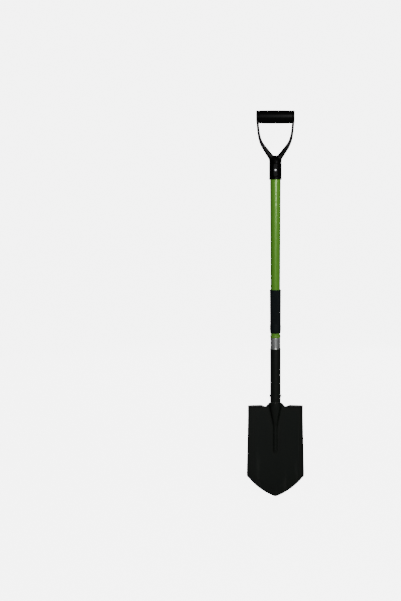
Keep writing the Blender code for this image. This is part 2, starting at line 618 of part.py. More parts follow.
# ---------------------------------------------------------------- assembly
def main():
    clear_scene()
    black_paint = finish_material("black_paint", (0.012, 0.014, 0.012), 0.42)
    green_paint = finish_material("green_paint", (0.110, 0.270, 0.030), 0.35)
    green_plastic = finish_material("green_plastic", (0.090, 0.215, 0.030), 0.45)
    black_plastic = finish_material("black_plastic", (0.006, 0.006, 0.007), 0.40)
    black_rubber = finish_material("black_rubber", (0.008, 0.010, 0.012), 0.75)
    bright_steel = finish_material("bright_steel", (0.62, 0.63, 0.62), 0.28, 1.0)
    zinc_steel = finish_material("zinc_steel", (0.55, 0.56, 0.57), 0.35, 1.0)
    nylon = finish_material("natural_nylon", (0.70, 0.68, 0.60), 0.50)

    build_blade(black_paint)
    build_socket(black_paint)
    build_welds(black_paint)
    socket_seat = SOCKET_WAIST_RADIUS + 2 * GAP
    through_rivet("socket_rivet", black_paint, SOCKET_RIVET_DIAMETER, SOCKET_RIVET_HEAD, SOCKET_RIVET_DOME,
                  socket_seat, socket_seat, laid_along_x, Z_SOCKET_RIVET)
    build_handle_tube(green_paint)
    build_ferrule(bright_steel)
    build_collar(green_plastic)
    build_rubber_grip(black_rubber)
    core_plug("lower_core_plug", nylon, TUBE_LOW_RADIUS - TUBE_WALL - GAP, Z_TUBE_FOOT + GAP,
              SOCKET_RIVET_DIAMETER, Z_SOCKET_RIVET, laid_along_x)
    core_plug("upper_core_plug", nylon, TUBE_TOP_RADIUS - TUBE_WALL - GAP, Z_TUBE_TOP - CORE_PLUG_LENGTH - GAP,
              GRIP_RIVET_DIAMETER, Z_GRIP_RIVET, laid_along_y)
    build_yoke(black_plastic)
    through_rivet("grip_rivet", zinc_steel, GRIP_RIVET_DIAMETER, GRIP_RIVET_HEAD, GRIP_RIVET_DOME,
                  RIVET_SEAT, RIVET_SEAT, laid_along_y, Z_GRIP_RIVET)
    back_washer = washer("grip_rivet_washer", zinc_steel, GRIP_WASHER_DIAMETER, GRIP_RIVET_DIAMETER / 2 + GAP,
                         BOSS_FACE + GAP, WASHER_THICKNESS)
    laid_along_y(back_washer, Z_GRIP_RIVET, side=1)
    pivot = bpy.data.objects.new("crossbar_axis", None)
    pivot.location = (0, 0, Z_BAR)
    bpy.context.scene.collection.objects.link(pivot)
    build_crossbar(black_plastic, nylon, pivot)
    build_rod(zinc_steel)


main()
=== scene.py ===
"""Detecting shovel: fine meshes and node-based finishes laid over the packed CAD frame.

Metres, +Z up, tip of the blade at the origin, working face of the blade towards -Y. Places come from
the frame's boxes, and the sizes that a user might change are in the property groups below.
"""
import math

import bmesh
import bpy
import numpy as np
from mathutils import Matrix, Vector


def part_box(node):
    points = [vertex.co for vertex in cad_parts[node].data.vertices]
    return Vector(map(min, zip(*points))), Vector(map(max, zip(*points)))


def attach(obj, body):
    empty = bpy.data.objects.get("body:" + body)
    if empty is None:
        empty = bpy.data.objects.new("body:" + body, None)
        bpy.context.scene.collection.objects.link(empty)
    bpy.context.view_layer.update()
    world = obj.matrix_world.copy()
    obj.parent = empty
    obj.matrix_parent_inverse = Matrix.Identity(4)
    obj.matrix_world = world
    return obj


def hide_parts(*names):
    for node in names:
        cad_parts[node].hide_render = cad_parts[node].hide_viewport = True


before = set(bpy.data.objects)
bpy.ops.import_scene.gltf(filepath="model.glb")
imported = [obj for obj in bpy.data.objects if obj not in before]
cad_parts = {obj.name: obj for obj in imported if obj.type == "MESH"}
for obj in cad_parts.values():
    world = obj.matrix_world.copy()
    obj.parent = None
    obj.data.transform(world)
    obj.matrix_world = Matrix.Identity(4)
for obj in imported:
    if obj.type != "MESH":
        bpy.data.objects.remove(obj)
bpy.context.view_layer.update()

bl_info = {
    "name": "Detecting Shovel",
    "version": (1, 0, 0),
    "blender": (4, 5, 0),
    "location": "3D View > Sidebar > Shovel",
    "description": "Builds a pointed detecting shovel with a turning D-grip bar, piece by piece",
    "category": "Add Mesh",
}

# ---------------------------------------------------------------- places that the frame fixes
BLADE_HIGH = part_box("blade")[1]
SOCKET_LOW, SOCKET_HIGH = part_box("socket_tube")
TUBE_LOW, TUBE_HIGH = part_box("handle_tube")
FERRULE_LOW, FERRULE_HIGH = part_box("ferrule")
COLLAR_LOW, COLLAR_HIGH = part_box("collar_ring")
RUBBER_LOW, RUBBER_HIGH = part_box("rubber_grip")
YOKE_LOW, YOKE_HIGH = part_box("grip_yoke")
BAR_LOW, BAR_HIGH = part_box("crossbar_sleeve")
BUSH_LOW, BUSH_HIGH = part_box("crossbar_bush_right")
ROD_LOW, ROD_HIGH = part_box("crossbar_rod")
ROD_WASHER_LOW, ROD_WASHER_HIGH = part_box("rod_washer_right")
SOCKET_RIVET_LOW, SOCKET_RIVET_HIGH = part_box("socket_rivet")
YOKE_RIVET_LOW, YOKE_RIVET_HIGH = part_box("grip_rivet")
YOKE_WASHER_LOW, YOKE_WASHER_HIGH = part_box("grip_rivet_washer")
WELD_LOW, WELD_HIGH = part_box("frog_weld_right")

Z_BAR = (BAR_LOW.z + BAR_HIGH.z) / 2
Z_SOCKET_RIVET = (SOCKET_RIVET_LOW.z + SOCKET_RIVET_HIGH.z) / 2
Z_YOKE_RIVET = (YOKE_RIVET_LOW.z + YOKE_RIVET_HIGH.z) / 2
SNUG = 0.00015            # left between two pieces that touch
FINE_SIDES = 128          # facets round a main tube
NO_LENGTH = 1e-9          # a shorter length counts as none
LEAST = 1e-12             # keeps roots and divisions off zero


# ---------------------------------------------------------------- sizes and colours a user can change
def length(label, description, default):
    """A size in metres."""
    return bpy.props.FloatProperty(name=label, description=description, default=default, min=0.0,
                                   precision=5, subtype="DISTANCE", unit="LENGTH")


def whole(label, description, default):
    """A number of repeats."""
    return bpy.props.IntProperty(name=label, description=description, default=default, min=1)


def shade(label, description, default):
    """A colour of a finish."""
    return bpy.props.FloatVectorProperty(name=label, description=description, default=default, size=3,
                                         min=0.0, max=1.0, subtype="COLOR")


def number(label, description, default, subtype="NONE", unit="NONE"):
    """An angle, a power or a plain number."""
    return bpy.props.FloatProperty(name=label, description=description, default=default,
                                   subtype=subtype, unit=unit)


class BladeSizes(bpy.types.PropertyGroup):
    """Sizes of the pressed steel blade"""
    top_width: length("Top width", "Across the blade under the treads", 0.152)
    low_width: length("Low width", "Across the two lower corners", BLADE_HIGH.x * 2)
    thickness: length("Sheet", "Thickness of the pressed sheet", 0.0018)
    cutting_edge: length("Cutting edge", "Thickness left at the ground lower edge", 0.0007)
    grind: length("Grind", "Width of the ground strip along the lower edge", 0.005)
    point_height: length("Point height", "Tip to the two lower corners", 0.062)
    edge_radius: length("Edge radius", "Radius of the two curved edges that meet at the tip", 0.190)
    tip_rounding: length("Tip rounding", "How blunt the tip is", 0.004)
    corner_rounding: length("Corner rounding", "How blunt the two lower corners are", 0.0025)
    dish: length("Dish", "How far the sides come forward of the middle", 0.0045)
    lip: length("Lip", "How much further the outermost strip comes forward", 0.0022)
    lip_width: length("Lip width", "Width of that strip", 0.006)
    point_lift: length("Point lift", "How far the tip comes forward", 0.007)
    straight_side: length("Straight side", "From the treads to where the sides start to spread", 0.030)
    tread_height: length("Tread height", "Tip to the top of the treads", 0.264)
    tread_inner: length("Tread start", "Centre line to the inner end of a tread", 0.036)
    tread_run: length("Tread run", "Stretch over which a tread turns out of the top edge", 0.008)
    tread_reach: length("Tread reach", "How far a tread is turned forward", 0.011)
    tread_bend: length("Tread bend", "Inner radius of the tread's bend", 0.0016)
    scallop: length("Scallop", "Dip between the tread and the neck", 0.0045)
    neck_half: length("Neck", "Half the width of the level top of the half shell round the socket", 0.0115)
    shoulder: length("Shoulder", "From the half shell's side out to the lowest point of the scallop", 0.012)
    rib_width: length("Rib width", "Width of the stiffening rib", 0.011)
    rib_height: length("Rib height", "How far the rib stands forward", 0.0042)
    rib_length: length("Rib length", "From the end of the frog to the rib's lower end", 0.0755)
    frog_run_out: length("Frog run-out", "From the end of the socket's taper to the rib", 0.012)
    frog_fillet: length("Frog fillet", "Radius between the frog and the plate", 0.0045)
    rib_fillet: length("Rib fillet", "Radius between the rib and the plate", 0.0030)


class HandleSizes(bpy.types.PropertyGroup):
    """Sizes of the socket, the tube and what sits on it"""
    tube_low: length("Tube, low", "Diameter of the tube in the socket and the rubber grip", 0.0262)
    tube_wall: length("Tube wall", "Wall of the handle tube", 0.0015)
    socket_waist: length("Socket waist", "Outer diameter of the socket above the blade", 0.0292)
    taper_length: length("Taper length", "Socket's tapered end that lies in the frog", 0.048)
    taper_end: length("Taper end", "Diameter of the taper's lower end", 0.0095)
    mouth_roll: length("Mouth roll", "Height of the rolled mouth of the socket", 0.0030)
    ferrule_bead: length("Ferrule bead", "Height of the turned bead at each end of the ferrule", 0.0016)
    rubber_bead: length("Rubber bead", "How far the rubber grip's rings stand proud", 0.0005)
    rib_count: whole("Rubber ribs", "Lengthwise ribs round the rubber grip", 40)
    rib_depth: length("Rib depth", "Depth of the grooves between the rubber ribs", 0.00055)
    weld_pitch: length("Weld pitch", "Distance from one weld ripple to the next", 0.0011)


class GripSizes(bpy.types.PropertyGroup):
    """Sizes of the moulded D-grip"""
    yoke_wall: length("Yoke wall", "Wall of the yoke's socket", 0.0024)
    straight: length("Straight part", "Yoke's straight socket, below its dome", 0.0445)
    dome: length("Dome", "From the straight part to the crotch", 0.019)
    seat: length("Tube seat", "How deep the tube goes into the yoke", 0.048)
    arm_foot: length("Arm foot", "Thickness of an arm where it leaves the socket", 0.0153)
    arm_top: length("Arm top", "Thickness of an arm under the eye", 0.0063)
    root_depth: length("Root depth", "Front to back where an arm's root leaves the socket", 0.0130)
    foot_depth: length("Foot depth", "Front to back at an arm's foot", 0.0205)
    top_depth: length("Top depth", "Front to back at an arm's top", 0.0262)
    web_radius: length("Crotch web", "Radius of the web between the arms' feet", 0.0085)
    eye_diameter: length("Eye diameter", "Across the disc at an arm's top", 0.0332)
    boss_width: length("Boss width", "Across the oblong pad round the rivet", 0.012)
    boss_length: length("Boss length", "Height of the oblong pad", 0.036)
    recess: length("Recess", "Depth of the thumb recess under the crotch", 0.0009)
    crown: length("Crown", "How much thinner the crossbar's ends are", 0.0011)
    voxel: length("Mould grain", "Cell size at which the yoke's shells are fused", 0.00066)


class Finishes(bpy.types.PropertyGroup):
    """Colours of the finishes"""
    black_paint: shade("Black paint", "Satin enamel of blade and socket", (0.0022, 0.0036, 0.0022))
    green_paint: shade("Green paint", "Gloss enamel of the handle tube", (0.084, 0.240, 0.023))
    green_plastic: shade("Green plastic", "Stop ring above the ferrule", (0.085, 0.215, 0.020))
    black_plastic: shade("Black plastic", "Moulded D-grip", (0.0010, 0.0011, 0.0010))
    black_rubber: shade("Black rubber", "Hand grip", (0.0030, 0.0052, 0.0058))
    bright_steel: shade("Bright steel", "Drawn band", (0.82, 0.84, 0.83))
    zinc_steel: shade("Zinc-plated steel", "Rivets and washers", (0.36, 0.37, 0.38))
    nylon: shade("Natural nylon", "Bushes and core plugs", (0.70, 0.68, 0.60))


class StageSizes(bpy.types.PropertyGroup):
    """Camera, floor and lights"""
    camera_distance: length("Camera distance", "In front of the handle's axis", 1.7571)
    camera_height: length("Camera height", "Above the floor", 0.7733)
    camera_pitch: number("Camera pitch", "Angle that the camera looks down by", math.radians(7.06),
                         "ANGLE", "ROTATION")
    lens: number("Lens", "Focal length in millimetres", 38.935)
    shift: number("Shift", "Sideways shift that sets the shovel right of centre", -0.1246)
    floor_radius: length("Floor radius", "Half the width of the pale floor", 60.0)
    key_power: number("Key light", "Power of the tall key light in watts", 26.0, unit="POWER")
    fill_power: number("Fill light", "Power of the broad fill light in watts", 4.0, unit="POWER")
    rear_power: number("Rear lights", "Power of each light behind in watts", 11.0, unit="POWER")


# ---------------------------------------------------------------- node trees written as sums
class Value:
    """A node's output that takes part in Python sums: each operator adds its Math node."""

    def __init__(self, tree, socket):
        self.tree = tree
        self.socket = socket

    def __add__(self, other):
        return self.tree.math("ADD", self, other)

    def __sub__(self, other):
        return self.tree.math("SUBTRACT", self, other)

    def __rsub__(self, other):
        return self.tree.math("SUBTRACT", other, self)

    def __mul__(self, other):
        return self.tree.math("MULTIPLY", self, other)

    def __truediv__(self, other):
        return self.tree.math("DIVIDE", self, other)

    def __pow__(self, other):
        return self.tree.math("POWER", self, other)

    __radd__ = __add__
    __rmul__ = __mul__

    def size(self):
        """The value without its sign."""
        return self.tree.math("ABSOLUTE", self)

    def ramp(self, low, high):
        """Smoothly from 0 at low to 1 at high; low may be the larger of the two."""
        return self.tree.add("ShaderNodeMapRange", {"interpolation_type": "SMOOTHSTEP"},
                             {"Value": self, "From Min": low, "From Max": high})


class Nodes:
    """Adds nodes to one tree, each from its type, its settings and what its sockets hold."""

    def __init__(self, tree):
        self.tree = tree

    def add(self, kind, settings=None, inputs=None, output=0):
        """A new node's output, or the node itself where it has none."""
        node = self.tree.nodes.new(kind)
        for name, setting in (settings or {}).items():
            setattr(node, name, setting)
        for name, value in (inputs or {}).items():
            self.feed(node.inputs[name], value)
        return Value(self, node.outputs[output]) if node.outputs else node

    def feed(self, socket, value):
        """Link another node's output to a socket, or set the socket's own value."""
        if isinstance(value, Value):
            self.tree.links.new(value.socket, socket)
        else:
            socket.default_value = value

    def math(self, operation, *operands):
        """The output of a Math node over values and numbers."""
        return self.add("ShaderNodeMath", {"operation": operation}, dict(enumerate(operands)))

    def mixed(self, factor, low, high):
        """From one colour to another as the factor goes from 0 to 1."""
        low, high = [c if isinstance(c, Value) else (*c, 1.0) for c in (low, high)]
        return self.add("ShaderNodeMix", {"data_type": "RGBA"}, {0: factor, 6: low, 7: high}, output=2)

    def axes(self, vector):
        """The three parts of a vector."""
        split = self.tree.nodes.new("ShaderNodeSeparateXYZ")
        self.feed(split.inputs[0], vector)
        return [Value(self, output) for output in split.outputs]


class Finish(Nodes):
    """A Principled material under construction, with the noises that the finishes share."""

    def __init__(self, name, roughness, metallic=0.0, **shader_values):
        self.material = bpy.data.materials.new(name)
        self.material.use_nodes = True
        super().__init__(self.material.node_tree)
        self.shader = self.tree.nodes["Principled BSDF"]
        for socket, value in {"Roughness": roughness, "Metallic": metallic, **shader_values}.items():
            self.shader.inputs[socket.replace("_", " ")].default_value = value
        self.place = Value(self, self.tree.nodes.new("ShaderNodeTexCoord").outputs["Object"])

    def stretched(self, scale):
        """Object coordinates squeezed or drawn out along each axis."""
        return self.add("ShaderNodeMapping", {"vector_type": "POINT"}, {"Vector": self.place, "Scale": scale})

    def noise(self, scale, detail=3.0, rough=0.5, stretch=None):
        """Cloudy values from 0 to 1; the scale is in clouds to a metre."""
        vector = self.stretched(stretch) if stretch else self.place
        return self.add("ShaderNodeTexNoise", {"noise_dimensions": "3D"},
                        {"Vector": vector, "Scale": scale, "Detail": detail, "Roughness": rough})

    def cells(self, scale):
        """Distance to the nearest of a cloud of scattered points."""
        return self.add("ShaderNodeTexVoronoi", {"feature": "F1"}, {"Vector": self.place, "Scale": scale})

    def bump(self, height, depth, strength):
        """Let a height field stand out of the surface by a depth in metres."""
        normal = self.add("ShaderNodeBump", {}, {"Height": height, "Distance": depth, "Strength": strength})
        self.feed(self.shader.inputs["Normal"], normal)

    def set(self, **sockets):
        """Feed the shader's own sockets, and hand over the finished material."""
        for name, value in sockets.items():
            self.feed(self.shader.inputs[name.replace("_", " ")], value)
        return self.material


def scaled(colour, factor):
    """A colour made lighter or darker."""
    return tuple(min(1.0, part * factor) for part in colour)


def towards(colour, other, share):
    """A colour moved some way to another."""
    return tuple(a + (b - a) * share for a, b in zip(colour, other))


# ---------------------------------------------------------------- finishes
def black_enamel(name, colour, edge_wear):
    """Baked satin enamel: orange peel, faint rub marks and, on the blade, bare flecks along the edges."""
    paint = Finish(name, 0.42, Specular_IOR_Level=0.26)
    cloud = paint.noise(9.0, detail=4.0)
    rubbed = paint.noise(55.0, detail=5.0, rough=0.65, stretch=(1.0, 1.0, 0.12)).ramp(0.56, 0.74)
    base = paint.mixed(cloud, scaled(colour, 0.8), scaled(colour, 1.35))
    base = paint.mixed(rubbed * 0.30, base, towards(colour, (0.05, 0.05, 0.045), 0.5))
    rough = 0.36 + cloud * 0.10 + rubbed * 0.12
    peel = paint.noise(520.0, detail=2.0) * 0.7 + paint.noise(1900.0, detail=1.0) * 0.3
    if edge_wear:
        distance = paint.add("ShaderNodeAttribute", {"attribute_name": "edge_distance"}, output=2)
        flecks = paint.noise(700.0, detail=4.0, rough=0.7)
        bare = (flecks * 0.0020 - distance - 0.00095).ramp(0.0, 0.00025)
        base = paint.mixed(bare, base, (0.16, 0.16, 0.155))
        rough = rough + bare * 0.08
        paint.set(Metallic=bare * 0.8)
        peel = peel - bare * 0.8
    paint.bump(peel, 0.00012, 0.35)
    return paint.set(Base_Color=base, Roughness=rough)


def green_enamel(name, colour):
    """Glossy sprayed enamel with a fine orange peel and a faint drift in tone."""
    paint = Finish(name, 0.30, Specular_IOR_Level=1.0, Specular_Tint=(0.62, 1.0, 0.42, 1.0))
    drift = paint.noise(14.0, detail=3.0, stretch=(1.0, 1.0, 0.3))
    speck = paint.cells(900.0).ramp(0.10, 0.02)
    base = paint.mixed(drift, scaled(colour, 0.88), scaled(colour, 1.12))
    base = paint.mixed(speck * 0.35, base, scaled(colour, 0.45))
    peel = paint.noise(620.0, detail=2.0)
    paint.bump(peel - speck * 0.2, 0.00010, 0.30)
    return paint.set(Base_Color=base, Roughness=0.18 + drift * 0.07 + speck * 0.2)


def moulded_plastic(name, colour, gloss, specular, seam_axis=None):
    """Spark-eroded mould grain, handling polish, and the thin line where the mould's halves met."""
    plastic = Finish(name, gloss, Specular_IOR_Level=specular)
    cloud = plastic.noise(22.0, detail=4.0, rough=0.6)
    grain = plastic.noise(2100.0, detail=2.0, rough=0.7)
    base = plastic.mixed(cloud, scaled(colour, 0.75), scaled(colour, 1.5))
    height = grain * 0.5
    if seam_axis is not None:
        seam = plastic.axes(plastic.place)[seam_axis].size().ramp(0.00028, 0.00010)
        height = height + seam * 1.2
        base = plastic.mixed(seam * 0.35, base, scaled(colour, 3.0))
    plastic.bump(height, 0.00010, 0.35)
    return plastic.set(Base_Color=base, Roughness=gloss - 0.06 + cloud * 0.10 + grain * 0.06)


def ribbed_rubber(name, colour):
    """Soft matt rubber with dust in the grooves and polish on the ribs; painted shade darkens the grooves and
    a painted highlight lightens the ribs' tops.
    """
    rubber = Finish(name, 0.75, Specular_IOR_Level=0.12)
    x, y, _ = rubber.axes(rubber.place)
    radius = (x * x + y * y) ** 0.5
    crest = RUBBER_HIGH.x - 0.0008       # on the ribs' tops
    groove = crest - 0.0009              # under the grooves' floors
    raised = radius.ramp(groove, crest)
    dust = rubber.noise(160.0, detail=5.0, rough=0.7).ramp(0.50, 0.72)
    # painted shade and highlight: darker colour in the grooves, lighter on the ribs' tops
    base = rubber.mixed(raised, scaled(colour, 0.75), scaled(colour, 1.25))
    base = rubber.mixed(dust * (1.0 - raised) * 0.5, base, towards(colour, (0.06, 0.055, 0.045), 0.5))
    grain = rubber.noise(1600.0, detail=3.0, rough=0.7)
    rubber.bump(grain, 0.00010, 0.4)
    return rubber.set(Base_Color=base, Roughness=0.80 - raised * 0.14 + dust * 0.08)


def drawn_steel(name, colour):
    """Thin drawn steel: lengthwise draw marks, dull patches and fine scratches round it. Dark lengthwise
    bands painted into its colour are painted reflection, and the draw marks darken it partly as real marks,
    partly as painted reflection.
    """
    steel = Finish(name, 0.26, metallic=1.0)
    draw_streaks_and_painted_reflection = steel.noise(260.0, detail=4.0, rough=0.6, stretch=(1.0, 1.0, 0.02))
    # painted reflection: broad dark and light lengthwise bands in the colour stand in for reflected lamps;
    # the dark bands are also made rougher
    broad = steel.noise(95.0, detail=2.0, stretch=(1.0, 1.0, 0.05)).ramp(0.38, 0.62)
    rings = steel.noise(900.0, detail=2.0, stretch=(0.05, 0.05, 1.0))
    base = steel.mixed(broad, scaled(colour, 0.34), colour)
    # darker along the draw marks: partly real marks, partly painted reflection
    base = steel.mixed(draw_streaks_and_painted_reflection.ramp(0.42, 0.70) * 0.5, base, scaled(colour, 0.55))
    steel.bump(draw_streaks_and_painted_reflection * 0.8 + rings * 0.2, 0.00006, 0.4)
    return steel.set(Base_Color=base, Roughness=0.20 + draw_streaks_and_painted_reflection * 0.16 + (1.0 - broad) * 0.10)


def plated_steel(name, colour):
    """Zinc plate: soft spangle, dull film and small dings from the rivet set."""
    steel = Finish(name, 0.34, metallic=1.0)
    spangle = steel.cells(750.0)
    film = steel.noise(240.0, detail=4.0, rough=0.6)
    base = steel.mixed(film, scaled(colour, 0.72), scaled(colour, 1.1))
    dings = steel.noise(1300.0, detail=2.0).ramp(0.60, 0.72)
    steel.bump(spangle * 0.3 - dings * 0.7, 0.00008, 0.4)
    return steel.set(Base_Color=base, Roughness=0.30 + film * 0.18 + spangle * 0.08)


def cast_nylon(name, colour):
    """Milky nylon with faint turning marks."""
    nylon = Finish(name, 0.5, Subsurface_Weight=0.15, Subsurface_Scale=0.002)
    cloud = nylon.noise(120.0, detail=3.0)
    marks = nylon.noise(1400.0, detail=1.0, stretch=(0.1, 0.1, 1.0))
    nylon.bump(marks, 0.00006, 0.35)
    base = nylon.mixed(cloud, scaled(colour, 0.85), scaled(colour, 1.05))
    return nylon.set(Base_Color=base, Roughness=0.42 + cloud * 0.14)


Y_AXIS = 1
FINISH_MAKERS = {
    "black_paint": ("satin_black_enamel", black_enamel, {"edge_wear": False}),
    "worn_black_paint": ("blade_enamel", black_enamel, {"edge_wear": True}),
    "green_paint": ("green_enamel", green_enamel, {}),
    "green_plastic": ("green_moulding", moulded_plastic, {"gloss": 0.42, "specular": 0.4}),
    "black_plastic": ("black_moulding", moulded_plastic,
                      {"gloss": 0.38, "specular": 0.06, "seam_axis": Y_AXIS}),
    "black_rubber": ("ribbed_rubber", ribbed_rubber, {}),
    "bright_steel": ("drawn_steel", drawn_steel, {}),
    "zinc_steel": ("zinc_plate", plated_steel, {}),
    "nylon": ("natural_nylon", cast_nylon, {}),
}


def finish_for(slot):
    """The material of a slot, made the first time it is asked for."""
    name, maker, settings = FINISH_MAKERS[slot]
    colour = getattr(bpy.context.scene.shovel_finishes, slot.removeprefix("worn_"))
    return bpy.data.materials.get(name) or maker(name, tuple(colour), **settings)


# ---------------------------------------------------------------- mesh helpers
def smooth_step(value):
    """From 0 to 1 with a soft start and end; beyond them it stays level."""
    value = np.clip(value, 0.0, 1.0)
    return value * value * (3 - 2 * value)


def blended(low, high, share):
    """From low to high as the share goes from 0 to 1."""
    return low + (high - low) * share


def mesh_object(name, points, faces, sharp_angle=40):
    """A linked object from points and faces, with smooth round faces and crisp corners."""
    mesh = bpy.data.meshes.new(name)
    mesh.from_pydata([tuple(point) for point in points], [], faces)
    mesh.shade_smooth()
    mesh.set_sharp_from_angle(angle=math.radians(sharp_angle))
    obj = bpy.data.objects.new(name, mesh)
    bpy.context.scene.collection.objects.link(obj)
    return obj


def rounded(corners, steps=5):
    """A closed outline whose corners (radius, height, setback) are eased by short curves."""
    outline = []
    for i, (radius, height, setback) in enumerate(corners):
        here = Vector((radius, height))
        if not setback:
            outline.append(here)
            continue
        before = Vector(corners[i - 1][:2]) - here
        after = Vector(corners[(i + 1) % len(corners)][:2]) - here
        start = here + before.normalized() * min(setback, before.length * 0.49)
        end = here + after.normalized() * min(setback, after.length * 0.49)
        for k in range(steps + 1):
            t = k / steps
            outline.append(start * (1 - t) ** 2 + here * 2 * t * (1 - t) + end * t * t)
    return outline


def turned(outline, sides=FINE_SIDES):
    """Points and faces of a closed outline of (radius, height) turned round Z."""
    area = sum(a[0] * b[1] - b[0] * a[1] for a, b in zip(outline, outline[1:] + outline[:1]))
    if area < 0:
        outline = outline[::-1]
    points, rings = [], []
    for radius, height in outline:
        if radius < NO_LENGTH:
            rings.append([len(points)] * sides)
            points.append((0.0, 0.0, height))
            continue
        rings.append(list(range(len(points), len(points) + sides)))
        points += [(radius * math.cos(a), radius * math.sin(a), height)
                   for a in (2 * math.pi * k / sides for k in range(sides))]
    faces = []
    for low, high in zip(rings, rings[1:] + rings[:1]):
        for k in range(sides):
            corners = (low[k - 1], low[k], high[k], high[k - 1])
            face = tuple(dict.fromkeys(corners))
            if len(face) > 2:
                faces.append(face)
    return points, faces


def turned_object(name, outline, sides=FINE_SIDES, sharp_angle=40):
    """A linked object turned round Z."""
    return mesh_object(name, *turned(outline, sides), sharp_angle)


def along_x(height, side=1):
    """Turns what was made along Z to point along +X (or -X) at a height."""
    return Matrix.Translation((0, 0, height)) @ Matrix.Rotation(side * math.pi / 2, 4, "Y")


def along_y(height, side=-1):
    """Turns what was made along Z to point along -Y (or +Y) at a height."""
    return Matrix.Translation((0, 0, height)) @ Matrix.Rotation(-side * math.pi / 2, 4, "X")


def laid(points, lie):
    """Points moved by a matrix."""
    return [lie @ Vector(point) for point in points]


def grid_faces(rows, columns, first=0, closed=False):
    """Faces over rows of points; closed joins each row's ends."""
    faces = []
    for r in range(rows - 1):
        for c in range(columns if closed else columns - 1):
            a, b = first + r * columns + c, first + r * columns + (c + 1) % columns
            faces.append((a, b, b + columns, a + columns))
    return faces


def capped_tube(rings, corners):
    """Faces over closed rings of points, with a flat face across each end."""
    faces = grid_faces(rings, corners, closed=True)
    faces.append(tuple(range(corners - 1, -1, -1)))
    faces.append(tuple(range((rings - 1) * corners, rings * corners)))
    return faces


def dressed(obj, slot, body, *nodes, finish=None):
    """Give a piece the finish of its slot and its body, and hide the CAD nodes that it stands for."""
    obj.data.materials.clear()
    obj.data.materials.append(finish_for(finish or slot))
    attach(obj, body)
    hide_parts(*nodes)
    return obj


# ---------------------------------------------------------------- geometry node helpers
class Growth(Nodes):
    """A Geometry Nodes tree with named inputs, used once on a piece and then made plain mesh."""

    KINDS = {int: "NodeSocketInt", float: "NodeSocketFloat", Vector: "NodeSocketVector",
             bpy.types.Material: "NodeSocketMaterial"}

    def __init__(self, name, **inputs):
        super().__init__(bpy.data.node_groups.new(name, "GeometryNodeTree"))
        face = self.tree.interface
        face.new_socket("Geometry", in_out="INPUT", socket_type="NodeSocketGeometry")
        self.values = {}
        for label, value in inputs.items():
            kind = next(socket for type_, socket in self.KINDS.items() if isinstance(value, type_))
            socket = face.new_socket(label.replace("_", " "), in_out="INPUT", socket_type=kind)
            self.values[socket.identifier] = value
        face.new_socket("Geometry", in_out="OUTPUT", socket_type="NodeSocketGeometry")
        self.group_in = self.tree.nodes.new("NodeGroupInput")

    def input(self, label):
        """One of the tree's named inputs."""
        return Value(self, self.group_in.outputs[label.replace("_", " ")])

    def close(self, geometry):
        """End the tree in Realize Instances and Set Material."""
        real = self.add("GeometryNodeRealizeInstances", {}, {0: geometry})
        coated = self.add("GeometryNodeSetMaterial", {},
                          {"Geometry": real, "Material": self.input("Material")})
        self.add("NodeGroupOutput", {}, {0: coated})

    def grown(self, obj):
        """Run the tree on an object and keep the result as its plain mesh."""
        modifier = obj.modifiers.new(self.tree.name, "NODES")
        modifier.node_group = self.tree
        for identifier, value in self.values.items():
            modifier[identifier] = value
        obj.data = plain_mesh(obj)
        obj.modifiers.clear()
        return obj


def plain_mesh(obj):
    """The object's mesh with its modifiers worked in."""
    graph = bpy.context.evaluated_depsgraph_get()
    return bpy.data.meshes.new_from_object(obj.evaluated_get(graph))


def fused(obj, voxel):
    """Melt overlapping closed shells into one skin."""
    modifier = obj.modifiers.new("fuse", "REMESH")
    modifier.mode = "VOXEL"
    modifier.voxel_size = voxel
    modifier.use_smooth_shade = True
    obj.data = plain_mesh(obj)
    obj.modifiers.clear()
    return obj


def relaxed(mesh, rounds, share=None):
    """Ease a dense mesh: each point moves towards its neighbours, and back a little to keep its bulk.

    With a share, which tells how much each point takes part, the points don't move back.
    """
    points = np.empty(len(mesh.vertices) * 3)
    mesh.vertices.foreach_get("co", points)
    points = points.reshape(-1, 3)
    edges = np.empty(len(mesh.edges) * 2, np.int64)
    mesh.edges.foreach_get("vertices", edges)
    a, b = edges.reshape(-1, 2).T
    count = np.bincount(np.concatenate((a, b)), minlength=len(points))[:, None]
    weight = np.ones(len(points)) if share is None else share(points)
    pull, push = 0.5, -0.52
    steps = (pull, push) if share is None else (pull,)
    size = len(points)
    for _ in range(rounds):
        for step in steps:
            total = np.stack([np.bincount(a, points[b, k], size) + np.bincount(b, points[a, k], size)
                              for k in range(3)], axis=1)
            points = points + (total / count - points) * step * weight[:, None]
    mesh.vertices.foreach_set("co", points.ravel())
    mesh.update()
    return points


# ---------------------------------------------------------------- fixings
ROD_RADIUS = 0.0040
ROD_HOLE = 0.0043         # in the eyes and the rod's washers
ROD_DOME = 0.0016
YOKE_PIN_RADIUS = 0.0024
YOKE_PIN_HOLE = 0.0027
YOKE_PIN_DOME = 0.0020
SOCKET_PIN_RADIUS = 0.0025
SOCKET_PIN_DOME = 0.0012
MERGE_DISTANCE = 1e-6


